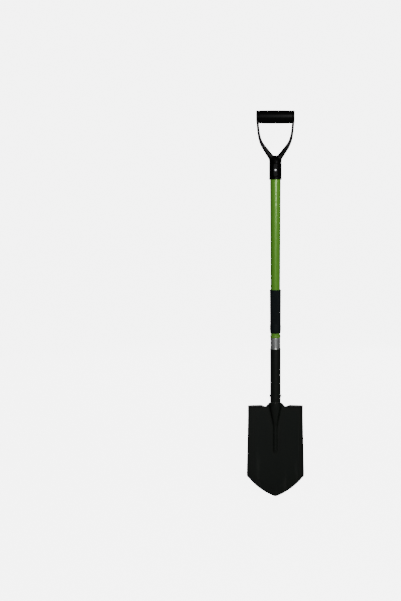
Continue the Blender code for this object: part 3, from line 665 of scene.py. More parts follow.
def pin(name, shank_radius, head_radius, dome, seat, lie, slot, *nodes):
    """A headed pin: half of it is turned, and a node tree sets a half at each end."""
    edge = dome * 0.25
    half = [Vector((shank_radius, 0.0)), Vector((shank_radius, seat)), Vector((head_radius - edge, seat)),
            Vector((head_radius, seat + edge))]
    steps = 10
    for k in range(1, steps + 1):
        angle = k * math.pi / 2 / steps
        half.append(Vector((head_radius * math.cos(angle), seat + edge + (dome - edge) * math.sin(angle))))
    half[-1].x = 0.0
    points, faces = turned(half + [Vector((0.0, 0.0))], sides=40)
    keep = [face for face in faces if any(points[i][2] > NO_LENGTH for i in face)]
    obj = mesh_object(name, points, keep, sharp_angle=50)
    grow = Growth("pin_ends", Ends=2, Material=finish_for(slot))
    line = grow.add("GeometryNodeMeshLine", {}, {"Count": grow.input("Ends"), "Offset": (0.0, 0.0, 0.0)})
    turn = grow.add("GeometryNodeInputIndex") * math.pi
    spin = grow.add("ShaderNodeCombineXYZ", {}, {"X": turn})
    ends = grow.add("GeometryNodeInstanceOnPoints", {},
                    {"Points": line, "Instance": grow.input("Geometry"), "Rotation": spin})
    grow.close(ends)
    grow.grown(obj)
    bm = bmesh.new()
    bm.from_mesh(obj.data)
    bmesh.ops.remove_doubles(bm, verts=bm.verts, dist=MERGE_DISTANCE)
    loose = [vert for vert in bm.verts if not vert.link_faces]
    bmesh.ops.delete(bm, geom=loose, context="VERTS")
    bmesh.ops.recalc_face_normals(bm, faces=bm.faces)
    bm.transform(lie)
    bm.to_mesh(obj.data)
    bm.free()
    return dressed(obj, slot, "handle", *nodes)


def washer(name, outer, hole, low, high, lie, slot, *nodes):
    """A stamped washer: rounded on its upper face, a slight burr edge below."""
    thick = high - low
    outline = rounded([(hole, low, thick * 0.15), (outer, low, thick * 0.15), (outer, high, thick * 0.4),
                       (hole, high, thick * 0.3)])
    points, faces = turned(outline, sides=64)
    obj = mesh_object(name, laid(points, lie), faces)
    return dressed(obj, slot, "handle", *nodes)


# ---------------------------------------------------------------- blade
FROG_COLUMNS = 16        # from the middle to the start of the frog's fillet
FILLET_COLUMNS = 7
PLATE_COLUMNS = 46
SHEET_ROWS = 170         # from the cutting edge to the top edge
TREAD_ROWS = 16          # on from there, over the turned treads
PLATE_FACE = 0.001       # front of the plate beside the frog
RIM_FULLNESS = 0.8       # how round the sheet's rim is, from 0 to 1
EDGE_STUB = 0.0004       # the top edge's own height where it has no tread
LEAST_RIB = 1e-6         # the rib's height below its lower end
TREAD_END_EASE = 2.5     # a tread's outer end is rounded over this many sheet thicknesses
TREAD_END_LEFT = 0.25    # share of the tread's reach that is left at its very end
TREAD_CROWDING = 1.5     # above 1, the tread's rows lie closer in its bend


def taper_radius(z, handle):
    """Outside radius of the socket's tapered end."""
    waist, end = handle.socket_waist / 2, handle.taper_end / 2
    top = SOCKET_LOW.z + handle.taper_length
    return blended(waist, end, np.clip((top - z) / handle.taper_length, 0.0, 1.0))


def shell_radius(blade, handle):
    """Outside radius of the half shell round the socket."""
    return handle.socket_waist / 2 + SNUG + blade.thickness


def rim_bulge(thickness):
    """How far the rounded rim stands off the sheet's last row."""
    return RIM_FULLNESS * thickness / 2


def raised_section(z, blade, handle):
    """The arc that makes the frog or the rib at a height: its radius, its centre's depth and its fillet."""
    shell = taper_radius(z, handle) + SNUG + blade.thickness
    as_rib = smooth_step((SOCKET_LOW.z - z) / blade.frog_run_out)
    rib_end = SOCKET_LOW.z - blade.frog_run_out - blade.rib_length
    left = 1 - np.clip((z - rib_end) / blade.rib_width, 0.0, 1.0)
    height = np.maximum(blade.rib_height * np.sqrt(1 - left ** 2), LEAST_RIB)
    rib = (blade.rib_width ** 2 / 4 + blade.rib_height ** 2) / (2 * blade.rib_height)
    radius = blended(shell, rib, as_rib)
    centre = blended(0.0, PLATE_FACE - height + rib, as_rib)
    return radius, centre, blended(blade.frog_fillet, blade.rib_fillet, as_rib)


def fillet_foot(radius, centre, fillet):
    """Where a fillet runs out on the plate: its centre's depth behind the arc's centre, and how far out."""
    drop = centre - PLATE_FACE + fillet
    return drop, np.sqrt(np.maximum((radius + fillet) ** 2 - drop ** 2, LEAST))


def column_places(z, blade, handle):
    """Distance from the centre line of each column at its own height."""
    radius, centre, fillet = raised_section(z, blade, handle)
    drop, foot = fillet_foot(radius, centre, fillet)
    turn = np.arctan2(foot, drop)
    column = np.arange(FROG_COLUMNS + FILLET_COLUMNS + PLATE_COLUMNS + 1)
    on_frog = radius * np.sin(turn * np.minimum(column / FROG_COLUMNS, 1.0))
    eased = np.clip((column - FROG_COLUMNS) / FILLET_COLUMNS, 0.0, 1.0)
    on_fillet = foot - fillet * np.sin(turn * (1 - eased))
    least = blade.rib_width / 2
    widen = np.maximum(foot, least) / foot
    across = np.clip((column - FROG_COLUMNS - FILLET_COLUMNS) / PLATE_COLUMNS, 0.0, 1.0)
    side = half_width(z, blade) - RIM_FULLNESS * blade.thickness * 0.60
    near = np.where(column <= FROG_COLUMNS, on_frog, on_fillet) * widen
    return np.where(across > 0, blended(foot * widen, side, across), near)


def face_depth(x, z, blade, handle):
    """Where the sheet's front lies: plate, fillet and frog, then dish, side lip and lifted point."""
    radius, centre, fillet = raised_section(z, blade, handle)
    foot = fillet_foot(radius, centre, fillet)[1]
    crest = foot * radius / (radius + fillet)
    on_frog = centre - np.sqrt(np.maximum(radius ** 2 - x ** 2, 0.0))
    on_fillet = PLATE_FACE - fillet + np.sqrt(np.maximum(fillet ** 2 - (foot - x) ** 2, 0.0))
    depth = np.where(x < crest, on_frog, np.where(x < foot, on_fillet, PLATE_FACE))
    half = half_width(z, blade)
    forward = blade.dish * (x / half) ** 2
    forward = forward + blade.lip * smooth_step((x - half + blade.lip_width) / blade.lip_width)
    forward = forward + blade.point_lift * np.maximum(0.0, 1 - z / blade.tread_height) ** 2
    return depth - forward


def half_width(z, blade):
    """Half the blade's width: straight under the treads, then spreading down to the lower corners."""
    spread_top = blade.tread_height - blade.straight_side
    spread = np.clip((spread_top - z) / (spread_top - blade.point_height), 0.0, 1.0)
    return blended(blade.top_width, blade.low_width, spread) / 2


def lower_edge(x, blade):
    """Height of the cutting edge: an arc from the blunt tip up to the eased corner."""
    half = blade.low_width / 2
    chord = math.hypot(half, blade.point_height)
    rise = math.sqrt(blade.edge_radius ** 2 - (chord / 2) ** 2)
    centre_x = half / 2 - rise * blade.point_height / chord
    centre_z = blade.point_height / 2 + rise * half / chord
    blunt = blade.tip_rounding
    along = half * (np.hypot(x, blunt) - blunt) / (math.hypot(half, blunt) - blunt)
    corner = np.clip((x - half + blade.corner_rounding) / blade.corner_rounding, 0.0, 1.0)
    eased = blade.corner_rounding * (1 - np.sqrt(np.maximum(0.0, 1 - corner ** 2)))
    return centre_z - np.sqrt(blade.edge_radius ** 2 - (along - centre_x) ** 2) + eased


def upper_edge(x, blade, handle):
    """Height of the blade's outline along the top: neck, sloping shoulder, scallop, tread."""
    dip = blade.tread_height - blade.scallop
    low_point = shell_radius(blade, handle) + blade.shoulder
    slope = smooth_step((x - blade.neck_half) / (low_point - blade.neck_half))
    rise = smooth_step((x - low_point) / (blade.tread_inner + blade.tread_run / 2 - low_point))
    return blended(blended(BLADE_HIGH.z, dip, slope), blade.tread_height, rise)


def tread_walk(head_x, blade, handle):
    """How the sheet runs on past its top row: forward and upward steps of each column, and its last lean."""
    rim = rim_bulge(blade.thickness)
    on_plate = smooth_step((head_x - shell_radius(blade, handle)) / blade.shoulder)
    turned_out = smooth_step((head_x - blade.tread_inner + blade.tread_run / 2) / blade.tread_run)
    ease = TREAD_END_EASE * blade.thickness
    past = np.clip((head_x - blade.top_width / 2 + rim + ease) / ease, 0.0, 1.0)
    end_round = blended(TREAD_END_LEFT, 1.0, np.sqrt(np.maximum(0.0, 1 - past ** 2)))
    full = blade.tread_bend * (math.pi / 2 - 1) + blade.tread_reach - rim
    reach = EDGE_STUB + (full - EDGE_STUB) * turned_out * end_round
    forward, upward = [np.zeros_like(reach)], [np.zeros_like(reach)]
    walked = np.zeros_like(reach)
    for k in range(1, TREAD_ROWS + 1):
        here = reach * (k / TREAD_ROWS) ** TREAD_CROWDING
        lean = np.minimum((walked + here) / 2 / blade.tread_bend, math.pi / 2) * on_plate
        forward.append(forward[-1] + np.sin(lean) * (here - walked))
        upward.append(upward[-1] + np.cos(lean) * (here - walked))
        walked = here
    return np.array(forward), np.array(upward), lean


def blade_front(blade, handle):
    """The sheet's front as a grid: rows from the cutting edge up and on over the turned treads."""
    rim = rim_bulge(blade.thickness)
    foot_x = column_places(np.float64(blade.point_height / 2), blade, handle)
    head_x = column_places(np.float64(BLADE_HIGH.z), blade, handle)
    forward, upward, lean = tread_walk(head_x, blade, handle)
    low = lower_edge(foot_x, blade) + RIM_FULLNESS * blade.cutting_edge * 0.6
    high = (upper_edge(head_x, blade, handle) - upward[-1] - blade.thickness * np.sin(lean)
            - rim * np.cos(lean))
    z = blended(low, high, np.linspace(0.0, 1.0, SHEET_ROWS + 1)[:, None])
    x = column_places(z, blade, handle)
    y = face_depth(x, z, blade, handle)
    sheet = np.stack([x, y, z], axis=-1)
    top = sheet[-1]
    flange = np.stack([np.stack([top[:, 0], top[:, 1] - out, top[:, 2] + up], axis=-1)
                       for out, up in zip(forward[1:], upward[1:])])
    right = np.concatenate((sheet, flange))
    left = right[:, :0:-1] * np.array((-1.0, 1.0, 1.0))
    return np.concatenate((left, right), axis=1), len(sheet)


def grid_normals(grid):
    """Unit normals of a grid of points, on the side that faces forward."""
    across = np.gradient(grid, axis=1)
    up = np.gradient(grid, axis=0)
    normal = np.cross(across, up)
    return normal / np.linalg.norm(normal, axis=-1, keepdims=True)


def rim_walk(rows, columns):
    """Grid places round the sheet, anticlockwise as seen from the front."""
    walk = [(0, c) for c in range(columns)]
    walk += [(r, columns - 1) for r in range(1, rows)]
    walk += [(rows - 1, c) for c in range(columns - 2, -1, -1)]
    walk += [(r, 0) for r in range(rows - 2, 0, -1)]
    return np.array(walk).T


def outward(grid):
    """Unit vectors that point off the sheet, for the places on its rim."""
    reach = np.zeros_like(grid)
    for edge, inner in ((0, 1), (-1, -2)):
        for axis in (0, 1):
            away = np.take(grid, edge, axis) - np.take(grid, inner, axis)
            away /= np.maximum(np.linalg.norm(away, axis=-1, keepdims=True), LEAST)
            place = (edge, slice(None)) if axis == 0 else (slice(None), edge)
            reach[place] += away
    return reach / np.maximum(np.linalg.norm(reach, axis=-1, keepdims=True), LEAST)


def blade_mesh(blade, handle):
    """Points and faces of the sheet with a ground lower edge and a rounded rim."""
    front, sheet_rows = blade_front(blade, handle)
    rows, columns, _ = front.shape
    fall = front[:, :, 2] - front[0, :, 2]
    ground = smooth_step(fall / blade.grind)
    ground[sheet_rows:] = 1.0
    thickness = blended(blade.cutting_edge, blade.thickness, ground)[:, :, None]
    back = front - grid_normals(front) * thickness
    walk = tuple(rim_walk(rows, columns))
    middle = (front[walk] + back[walk]) / 2
    half = front[walk] - middle
    bulge = outward(front)[walk] * np.linalg.norm(half, axis=-1, keepdims=True) * RIM_FULLNESS
    turns = [math.pi * k / 4 for k in (1, 2, 3)]
    rings = [middle + half * math.cos(turn) + bulge * math.sin(turn) for turn in turns]

    points = np.concatenate([front.reshape(-1, 3), back.reshape(-1, 3), *rings])
    size = rows * columns
    faces = grid_faces(rows, columns)
    faces += [tuple(reversed(face)) for face in grid_faces(rows, columns, first=size)]
    front_ring = walk[0] * columns + walk[1]
    count = len(front_ring)
    loops = [front_ring] + [2 * size + k * count + np.arange(count) for k in range(3)] + [front_ring + size]
    for near, far in zip(loops, loops[1:]):
        faces += [(int(near[i]), int(near[i - 1]), int(far[i - 1]), int(far[i])) for i in range(count)]

    sides = half_width(front[:, :, 2], blade) - np.abs(front[:, :, 0])
    distance = np.maximum(np.minimum(fall, sides), 0.0)
    distance[-1] = 0.0
    distances = np.concatenate([distance.ravel(), distance.ravel(), np.zeros(3 * count)])
    return points, faces, distances


class SHOVEL_OT_blade(bpy.types.Operator):
    """Press the blade: dished plate, frog and rib, turned treads and ground edge"""
    bl_idname = "shovel.blade"
    bl_label = "Blade"

    def execute(self, context):
        scene = context.scene
        points, faces, distances = blade_mesh(scene.shovel_blade, scene.shovel_handle)
        obj = mesh_object("blade_pressing", points, faces, sharp_angle=60)
        attribute = obj.data.attributes.new("edge_distance", "FLOAT", "POINT")
        attribute.data.foreach_set("value", distances.astype(np.float32))
        dressed(obj, "black_paint", "handle", "blade", finish="worn_black_paint")
        return {"FINISHED"}


# ---------------------------------------------------------------- socket
SOCKET_WALL = 0.0015
MOUTH_PROUD = 0.00045    # how far the rolled mouth stands out


def tube_bore(handle):
    """Inside radius of what sits on the tube's lower part."""
    return handle.tube_low / 2 + SNUG


def socket_outline(handle):
    """The socket's section: closed taper, waist, rolled mouth and the bore that the tube stands in."""
    waist, end = handle.socket_waist / 2, handle.taper_end / 2
    mouth, roll = SOCKET_HIGH.x, handle.mouth_roll
    bore, inside = tube_bore(handle), waist - SOCKET_WALL
    low, high = SOCKET_LOW.z, SOCKET_HIGH.z
    taper_top = low + handle.taper_length
    floor = low + 2 * SOCKET_WALL
    return rounded([
        (0.0, low, 0.0), (end, low, end * 0.7), (waist, taper_top, 0.010),
        (waist, BLADE_HIGH.z + 0.022, 0.012), (mouth - MOUTH_PROUD, high - roll, 0.0008),
        (mouth, high - roll + 0.0007, 0.0007), (mouth, high, 0.0007), (bore, high, 0.0004),
        (bore, TUBE_LOW.z - SNUG, 0.0), (inside, TUBE_LOW.z - 2 * SNUG, 0.0),
        (inside, taper_top, 0.004), (end - SOCKET_WALL, floor, 0.001), (0.0, floor, 0.0)], steps=8)


class SHOVEL_OT_socket(bpy.types.Operator):
    """Turn the socket with its rolled mouth and tapered end, and set its cross rivet"""
    bl_idname = "shovel.socket"
    bl_label = "Socket"

    def execute(self, context):
        outline = socket_outline(context.scene.shovel_handle)
        dressed(turned_object("socket_barrel", outline), "black_paint", "handle", "socket_tube")
        head = (SOCKET_RIVET_HIGH.z - SOCKET_RIVET_LOW.z) / 2
        pin("socket_pin", SOCKET_PIN_RADIUS, head, SOCKET_PIN_DOME, SOCKET_RIVET_HIGH.x - SOCKET_PIN_DOME,
            along_x(Z_SOCKET_RIVET), "black_paint", "socket_rivet")
        return {"FINISHED"}


class SHOVEL_OT_welds(bpy.types.Operator):
    """Lay a rippled weld bead on each side of the socket's taper, behind the blade"""
    bl_idname = "shovel.welds"
    bl_label = "Frog welds"

    END_INSET = 0.6          # shares of the bead's radius: how far its centre line stays off its ends,
    OFF_TAPER = 0.8          # how far off the socket's taper,
    GRAIN = 0.14             # and the cell size at which the drops melt together
    LEAST_DROP = 0.84        # the smallest drop's share of the full size
    FLATNESS = 0.72          # a drop's height as a share of its width
    TILT = 0.5               # a drop's lean in radians

    def execute(self, context):
        handle = context.scene.shovel_handle
        for side, label in ((-1, "left"), (1, "right")):
            self.bead(f"weld_bead_{label}", side, handle, f"frog_weld_{label}")
        return {"FINISHED"}

    def bead(self, name, side, handle, node):
        """Drops of slightly uneven size set along the seam and melted into one bead."""
        radius = (WELD_HIGH.y - WELD_LOW.y) / 2
        depth = (WELD_HIGH.y + WELD_LOW.y) / 2
        inset = radius * self.END_INSET
        low, high = WELD_LOW.z + inset, WELD_HIGH.z - inset
        ends = []
        for z in (low, high):
            away = math.sqrt((taper_radius(z, handle) + radius * self.OFF_TAPER) ** 2 - depth ** 2)
            ends.append(Vector((side * away, depth, z)))
        obj = mesh_object(name, [], [])
        grow = Growth("weld_ripples", Start=ends[0], End=ends[1], Pitch=handle.weld_pitch, Radius=radius,
                      Seed=7 + side, Material=finish_for("black_paint"))
        line = grow.add("GeometryNodeCurvePrimitiveLine", {}, {"Start": grow.input("Start"),
                                                               "End": grow.input("End")})
        stops = grow.add("GeometryNodeResampleCurve", {"mode": "LENGTH"},
                         {"Curve": line, "Length": grow.input("Pitch")})
        drop = grow.add("GeometryNodeMeshIcoSphere", {}, {"Radius": grow.input("Radius"), "Subdivisions": 3})
        sizes = grow.add("FunctionNodeRandomValue", {"data_type": "FLOAT"},
                         {2: self.LEAST_DROP, 3: 1.0, "Seed": grow.input("Seed")}, output=1)
        scale = grow.add("ShaderNodeCombineXYZ", {}, {"X": sizes, "Y": sizes, "Z": sizes * self.FLATNESS})
        tilt = grow.add("ShaderNodeCombineXYZ", {}, {"X": self.TILT})
        drops = grow.add("GeometryNodeInstanceOnPoints", {},
                         {"Points": stops, "Instance": drop, "Scale": scale, "Rotation": tilt})
        grow.close(drops)
        grow.grown(obj)
        fused(obj, radius * self.GRAIN)
        relaxed(obj.data, 2)
        return dressed(obj, "black_paint", "handle", node)


# ---------------------------------------------------------------- tube and what sits on it
class SHOVEL_OT_tube(bpy.types.Operator):
    """Draw the green handle tube: straight below, tapering up to the D-grip"""
    bl_idname = "shovel.tube"
    bl_label = "Handle tube"

    def execute(self, context):
        handle = context.scene.shovel_handle
        low, top, wall = handle.tube_low / 2, TUBE_HIGH.x, handle.tube_wall
        ease = 0.0004
        outline = rounded([
            (low, TUBE_LOW.z, ease), (low, RUBBER_HIGH.z, 0.010), (top, YOKE_LOW.z, 0.010),
            (top, TUBE_HIGH.z, ease), (top - wall, TUBE_HIGH.z, ease), (top - wall, YOKE_LOW.z, 0.010),
            (low - wall, RUBBER_HIGH.z, 0.010), (low - wall, TUBE_LOW.z, ease)])
        dressed(turned_object("green_tube", outline), "green_paint", "handle", "handle_tube")
        return {"FINISHED"}


BAND_RELIEF = 0.00022    # how far the ferrule's beads stand out


def ferrule_outline(bore, bead):
    """The ferrule's section: a thin band with a turned bead at each end."""
    outer, low, high = FERRULE_HIGH.x, FERRULE_LOW.z, FERRULE_HIGH.z
    waist = outer - BAND_RELIEF
    return rounded([
        (bore, low, 0.0), (outer, low, 0.0003), (outer, low + bead, 0.0004),
        (waist, low + bead * 1.4, 0.0004), (waist, high - bead * 1.4, 0.0004),
        (outer, high - bead, 0.0004), (outer, high, 0.0003), (bore, high, 0.0)], steps=4)


def stop_ring_outline(bore):
    """The stop ring's section: a full bead round a short bore."""
    outer, middle = COLLAR_HIGH.x, (COLLAR_LOW.z + COLLAR_HIGH.z) / 2
    half = (COLLAR_HIGH.z - COLLAR_LOW.z) / 2
    shoulder = bore + (outer - bore) * 0.45
    steps = 14
    outline = [Vector((bore, COLLAR_LOW.z))]
    for k in range(steps + 1):
        angle = math.pi * (k / steps - 0.5)
        swell = math.cos(angle) ** 0.8 if 0 < k < steps else 0.0
        outline.append(Vector((blended(shoulder, outer, swell), middle + half * math.sin(angle))))
    outline.append(Vector((bore, COLLAR_HIGH.z)))
    return outline


class SHOVEL_OT_ferrule(bpy.types.Operator):
    """Turn the bright ferrule band and the green stop ring above it"""
    bl_idname = "shovel.ferrule"
    bl_label = "Ferrule and stop ring"

    def execute(self, context):
        handle = context.scene.shovel_handle
        bore = tube_bore(handle)
        band = turned_object("ferrule_band", ferrule_outline(bore, handle.ferrule_bead), sharp_angle=50)
        dressed(band, "bright_steel", "handle", "ferrule")
        ring = turned_object("stop_ring", stop_ring_outline(bore))
        dressed(ring, "green_plastic", "handle", "collar_ring")
        return {"FINISHED"}


# ---------------------------------------------------------------- rubber grip
RUBBER_RING = 0.0030     # height of the ring on top
RUBBER_TAPER = 0.0005    # how much smaller the lower end's radius is
RIBS_MARGIN = 0.0015     # plain rubber beyond each end of the ribs
RIBS_RUN_OUT = 0.0025    # length over which the grooves fade out
BAND_LOW, BAND_HIGH = RUBBER_LOW.z + 0.006, RUBBER_LOW.z + 0.022
RIBS_LOW, RIBS_HIGH = BAND_HIGH + RIBS_MARGIN, RUBBER_HIGH.z - RUBBER_RING - RIBS_MARGIN
POINTS_PER_RIB = 10


def sleeve_outline(handle, bore):
    """The rubber sleeve's section: raised band low down, plain stretch for the ribs, ring on top."""
    bead = handle.rubber_bead
    low, high = RUBBER_LOW.z, RUBBER_HIGH.z
    top_radius = RUBBER_HIGH.x - bead
    low_radius = top_radius - RUBBER_TAPER

    def radius(z):
        return blended(low_radius, top_radius, (z - low) / (high - low))

    corners = [(bore, low, 0.0), (radius(low), low, 0.0010), (radius(BAND_LOW), BAND_LOW - bead, 0.0004),
               (radius(BAND_LOW) + bead, BAND_LOW, 0.0004), (radius(BAND_HIGH) + bead, BAND_HIGH, 0.0004),
               (radius(BAND_HIGH), BAND_HIGH + bead, 0.0004)]
    stations = 24
    for k in range(stations + 1):
        z = blended(RIBS_LOW, RIBS_HIGH, smooth_step(k / stations))
        corners.append((radius(z), float(z), 0.0))
    corners += [(radius(high - RUBBER_RING), high - RUBBER_RING, 0.0004),
                (top_radius + bead, high - RUBBER_RING + bead, 0.0005),
                (top_radius + bead, high, 0.0010), (bore, high, 0.0)]
    return rounded(corners, steps=4)


def cut_ribs(obj, handle, bore):
    """Press the grooves between the ribs into the sleeve's outside."""
    grow = Growth("lengthwise_ribs", Count=handle.rib_count, Depth=handle.rib_depth, Low_End=RIBS_LOW,
                  High_End=RIBS_HIGH, Run_Out=RIBS_RUN_OUT, Bore=bore + 0.0004,
                  Material=finish_for("black_rubber"))
    x, y, z = grow.axes(grow.add("GeometryNodeInputPosition"))
    angle = grow.math("ARCTAN2", y, x)
    wave = grow.math("COSINE", angle * grow.input("Count")) * 0.5 + 0.5
    groove = (1.0 - wave) ** 1.6
    fade_in = z.ramp(grow.input("Low_End"), grow.input("Low_End") + grow.input("Run_Out"))
    fade_out = z.ramp(grow.input("High_End"), grow.input("High_End") - grow.input("Run_Out"))
    out = (x * x + y * y) ** 0.5
    outside = grow.math("GREATER_THAN", out, grow.input("Bore"))
    cut = groove * fade_in * fade_out * outside * grow.input("Depth") / out
    inward = grow.add("ShaderNodeCombineXYZ", {}, {"X": x * cut * -1.0, "Y": y * cut * -1.0})
    carved = grow.add("GeometryNodeSetPosition", {},
                      {"Geometry": grow.input("Geometry"), "Offset": inward})
    grow.close(carved)
    return grow.grown(obj)


class SHOVEL_OT_rubber_grip(bpy.types.Operator):
    """Mould the rubber sleeve and cut its lengthwise ribs"""
    bl_idname = "shovel.rubber_grip"
    bl_label = "Rubber grip"

    def execute(self, context):
        handle = context.scene.shovel_handle
        bore = tube_bore(handle)
        sleeve = turned_object("rubber_sleeve", sleeve_outline(handle, bore),
                               handle.rib_count * POINTS_PER_RIB, sharp_angle=70)
        dressed(cut_ribs(sleeve, handle, bore), "black_rubber", "handle", "rubber_grip")
        return {"FINISHED"}


# ---------------------------------------------------------------- D-grip
ARM_STATIONS = 48
ROOT_STATIONS = 8
ARM_CORNERS = 40
ARM_START = (0.73, -0.062)    # arm's centre line: shares of the tube's radius and of the opening's height
ARM_LEAN = (0.765, 0.303)     # its two controls: shares of the eye's place and of the opening's height
ARM_RISE = (0.931, 0.288)
ARM_TOP_DROP = 0.3       # its upper end below the crossbar, as a share of the eye
ARM_DEPTH_RUN = 0.4      # share of its length over which it gets its full depth
ROOT_RISE = 0.0007       # where its root starts, above the tube's end
ARM_THINNING = 1.76      # above 1, an arm loses most of its thickness low down
EYE_PLAY = 0.0006        # round the washer in the counterbore
CROTCH_ROUNDS = 130      # how often the moulding is eased near the crotch
CROTCH_REACH = 0.024     # how far from the crotch that goes
CROTCH_FADE = 0.010      # over which stretch it fades out
RECESS_DROP = 0.010      # thumb recess: its middle below the crotch, half its height and half its width
RECESS_HEIGHT = 0.009
RECESS_WIDTH = 0.0085


def crotch_height(grip):
    """Height of the lowest point of the hand opening."""
    return YOKE_LOW.z + grip.straight + grip.dome


def arm_centre(t, grip):
    """Centre line of the right arm, from inside the yoke's socket up to the eye."""
    crotch = crotch_height(grip)
    height = Z_BAR - crotch
    eye_x = (BAR_HIGH.x + YOKE_HIGH.x) / 2
    foot = Vector((TUBE_HIGH.x * ARM_START[0], 0, crotch + height * ARM_START[1]))
    lean = Vector((eye_x * ARM_LEAN[0], 0, crotch + height * ARM_LEAN[1]))
    rise = Vector((eye_x * ARM_RISE[0], 0, crotch + height * ARM_RISE[1]))
    top = Vector((eye_x, 0, Z_BAR - grip.eye_diameter * ARM_TOP_DROP))
    return foot * (1 - t) ** 3 + lean * 3 * t * (1 - t) ** 2 + rise * 3 * t * t * (1 - t) + top * t ** 3


def arm_ring(centre, across, thickness, depth, side, fullness=5):
    """One rounded section of an arm; fullness 2 is an ellipse and more is squarer."""
    ring = []
    for k in range(ARM_CORNERS):
        angle = side * 2 * math.pi * (k + 0.5) / ARM_CORNERS
        c, s = math.cos(angle), math.sin(angle)
        squared = (abs(c) ** fullness + abs(s) ** fullness) ** (-1 / fullness)
        point = centre + across * (thickness / 2 * squared * c) + Vector((0, depth / 2 * squared * s, 0))
        ring.append(Vector((side * point.x, point.y, point.z)))
    return ring


def arm_shell(side, grip):
    """One arm: a root that grows out of the socket's shoulder, then a strap that thins up to the eye."""
    def axes_at(t):
        along = (arm_centre(min(1, t + 0.01), grip) - arm_centre(max(0, t - 0.01), grip)).normalized()
        return arm_centre(t, grip), Vector((along.z, 0, -along.x))

    foot, foot_across = axes_at(0.0)
    root = Vector((TUBE_HIGH.x + grip.yoke_wall - grip.arm_foot / 2, 0, TUBE_HIGH.z + ROOT_RISE))
    points = []
    for i in range(ROOT_STATIONS):
        share = i / ROOT_STATIONS
        across = (Vector((1, 0, 0)) * (1 - share) + foot_across * share).normalized()
        points += arm_ring(root.lerp(foot, share), across, grip.arm_foot,
                           blended(grip.root_depth, grip.foot_depth, smooth_step(share)), side, 2 + 3 * share)
    for i in range(ARM_STATIONS + 1):
        t = i / ARM_STATIONS
        thickness = blended(grip.arm_top, grip.arm_foot, (1 - t) ** ARM_THINNING)
        depth = blended(grip.foot_depth, grip.top_depth, smooth_step(t / ARM_DEPTH_RUN))
        points += arm_ring(*axes_at(t), thickness, depth, side)
    return points, capped_tube(ROOT_STATIONS + ARM_STATIONS + 1, ARM_CORNERS)


def crotch_shell(grip):
    """The rounded web between the arms' feet; its top is the lowest point of the hand opening."""
    radius, half = grip.web_radius, grip.foot_depth / 2 - 0.0010
    outline = rounded([(0.0, -half, 0.0), (radius, -half, 0.003), (radius, half, 0.003), (0.0, half, 0.0)])
    points, faces = turned(outline, sides=64)
    return laid(points, along_y(crotch_height(grip) - radius)), faces


def eye_shell(side, grip):
    """The disc at an arm's top, with its rod hole and the counterbore for washer and head."""
    radius = grip.eye_diameter / 2
    inner, outer = BAR_HIGH.x + 0.0004, YOKE_HIGH.x
    floor = ROD_WASHER_LOW.x - SNUG
    counterbore = (ROD_WASHER_HIGH.z - ROD_WASHER_LOW.z) / 2 + EYE_PLAY
    outline = rounded([(ROD_HOLE, inner, 0.0), (radius, inner, 0.0006), (radius, outer, 0.0018),
                       (counterbore, outer, 0.0008), (counterbore, floor, 0.0), (ROD_HOLE, floor, 0.0)],
                      steps=6)
    points, faces = turned(outline, sides=96)
    return laid(points, along_x(Z_BAR, side)), faces


def boss_shell(grip, inner, outer):
    """Half of the oblong pad, from inside the socket's wall to its eased face at +Y or -Y."""
    half, straight = grip.boss_width / 2, (grip.boss_length - grip.boss_width) / 2
    steps = 16
    layers = [(inner, 0.0), (outer * 0.93, 0.0), (outer * 0.985, 0.0003), (outer, 0.0010)]
    points = []
    for y, inset in layers:
        size = half - inset
        for end in (1, -1):
            for i in range(steps + 1):
                angle = math.pi * i / steps
                points.append(Vector((end * size * math.cos(angle), y,
                                      Z_YOKE_RIVET + end * (straight + size * math.sin(angle)))))
    faces = capped_tube(len(layers), 2 * (steps + 1))
    if outer > 0:
        faces = [tuple(reversed(face)) for face in faces]
    return points, faces


def yoke_socket_shell(grip):
    """The yoke's socket with its lip, its blind bore and the dome that carries the arms."""
    bore = TUBE_HIGH.x + SNUG
    radius = bore + SNUG + grip.yoke_wall
    low = YOKE_LOW.z
    straight = low + grip.straight
    lip = 0.0030
    barrel = radius - 0.0004
    corners = [(bore, low, 0.0008), (radius, low, 0.0012), (radius, low + lip, 0.0005),
               (barrel, low + lip + 0.0006, 0.0005), (barrel, straight, 0.0)]
    steps = 14
    for k in range(1, steps + 1):
        angle = k * math.pi / 2 / steps
        corners.append((barrel * math.cos(angle) if k < steps else 0.0,
                        straight + grip.dome * math.sin(angle), 0.0))
    seat = low + grip.seat + SNUG
    corners += [(0.0, seat, 0.0), (bore, seat, 0.0)]
    return turned(rounded(corners, steps=5), sides=112)


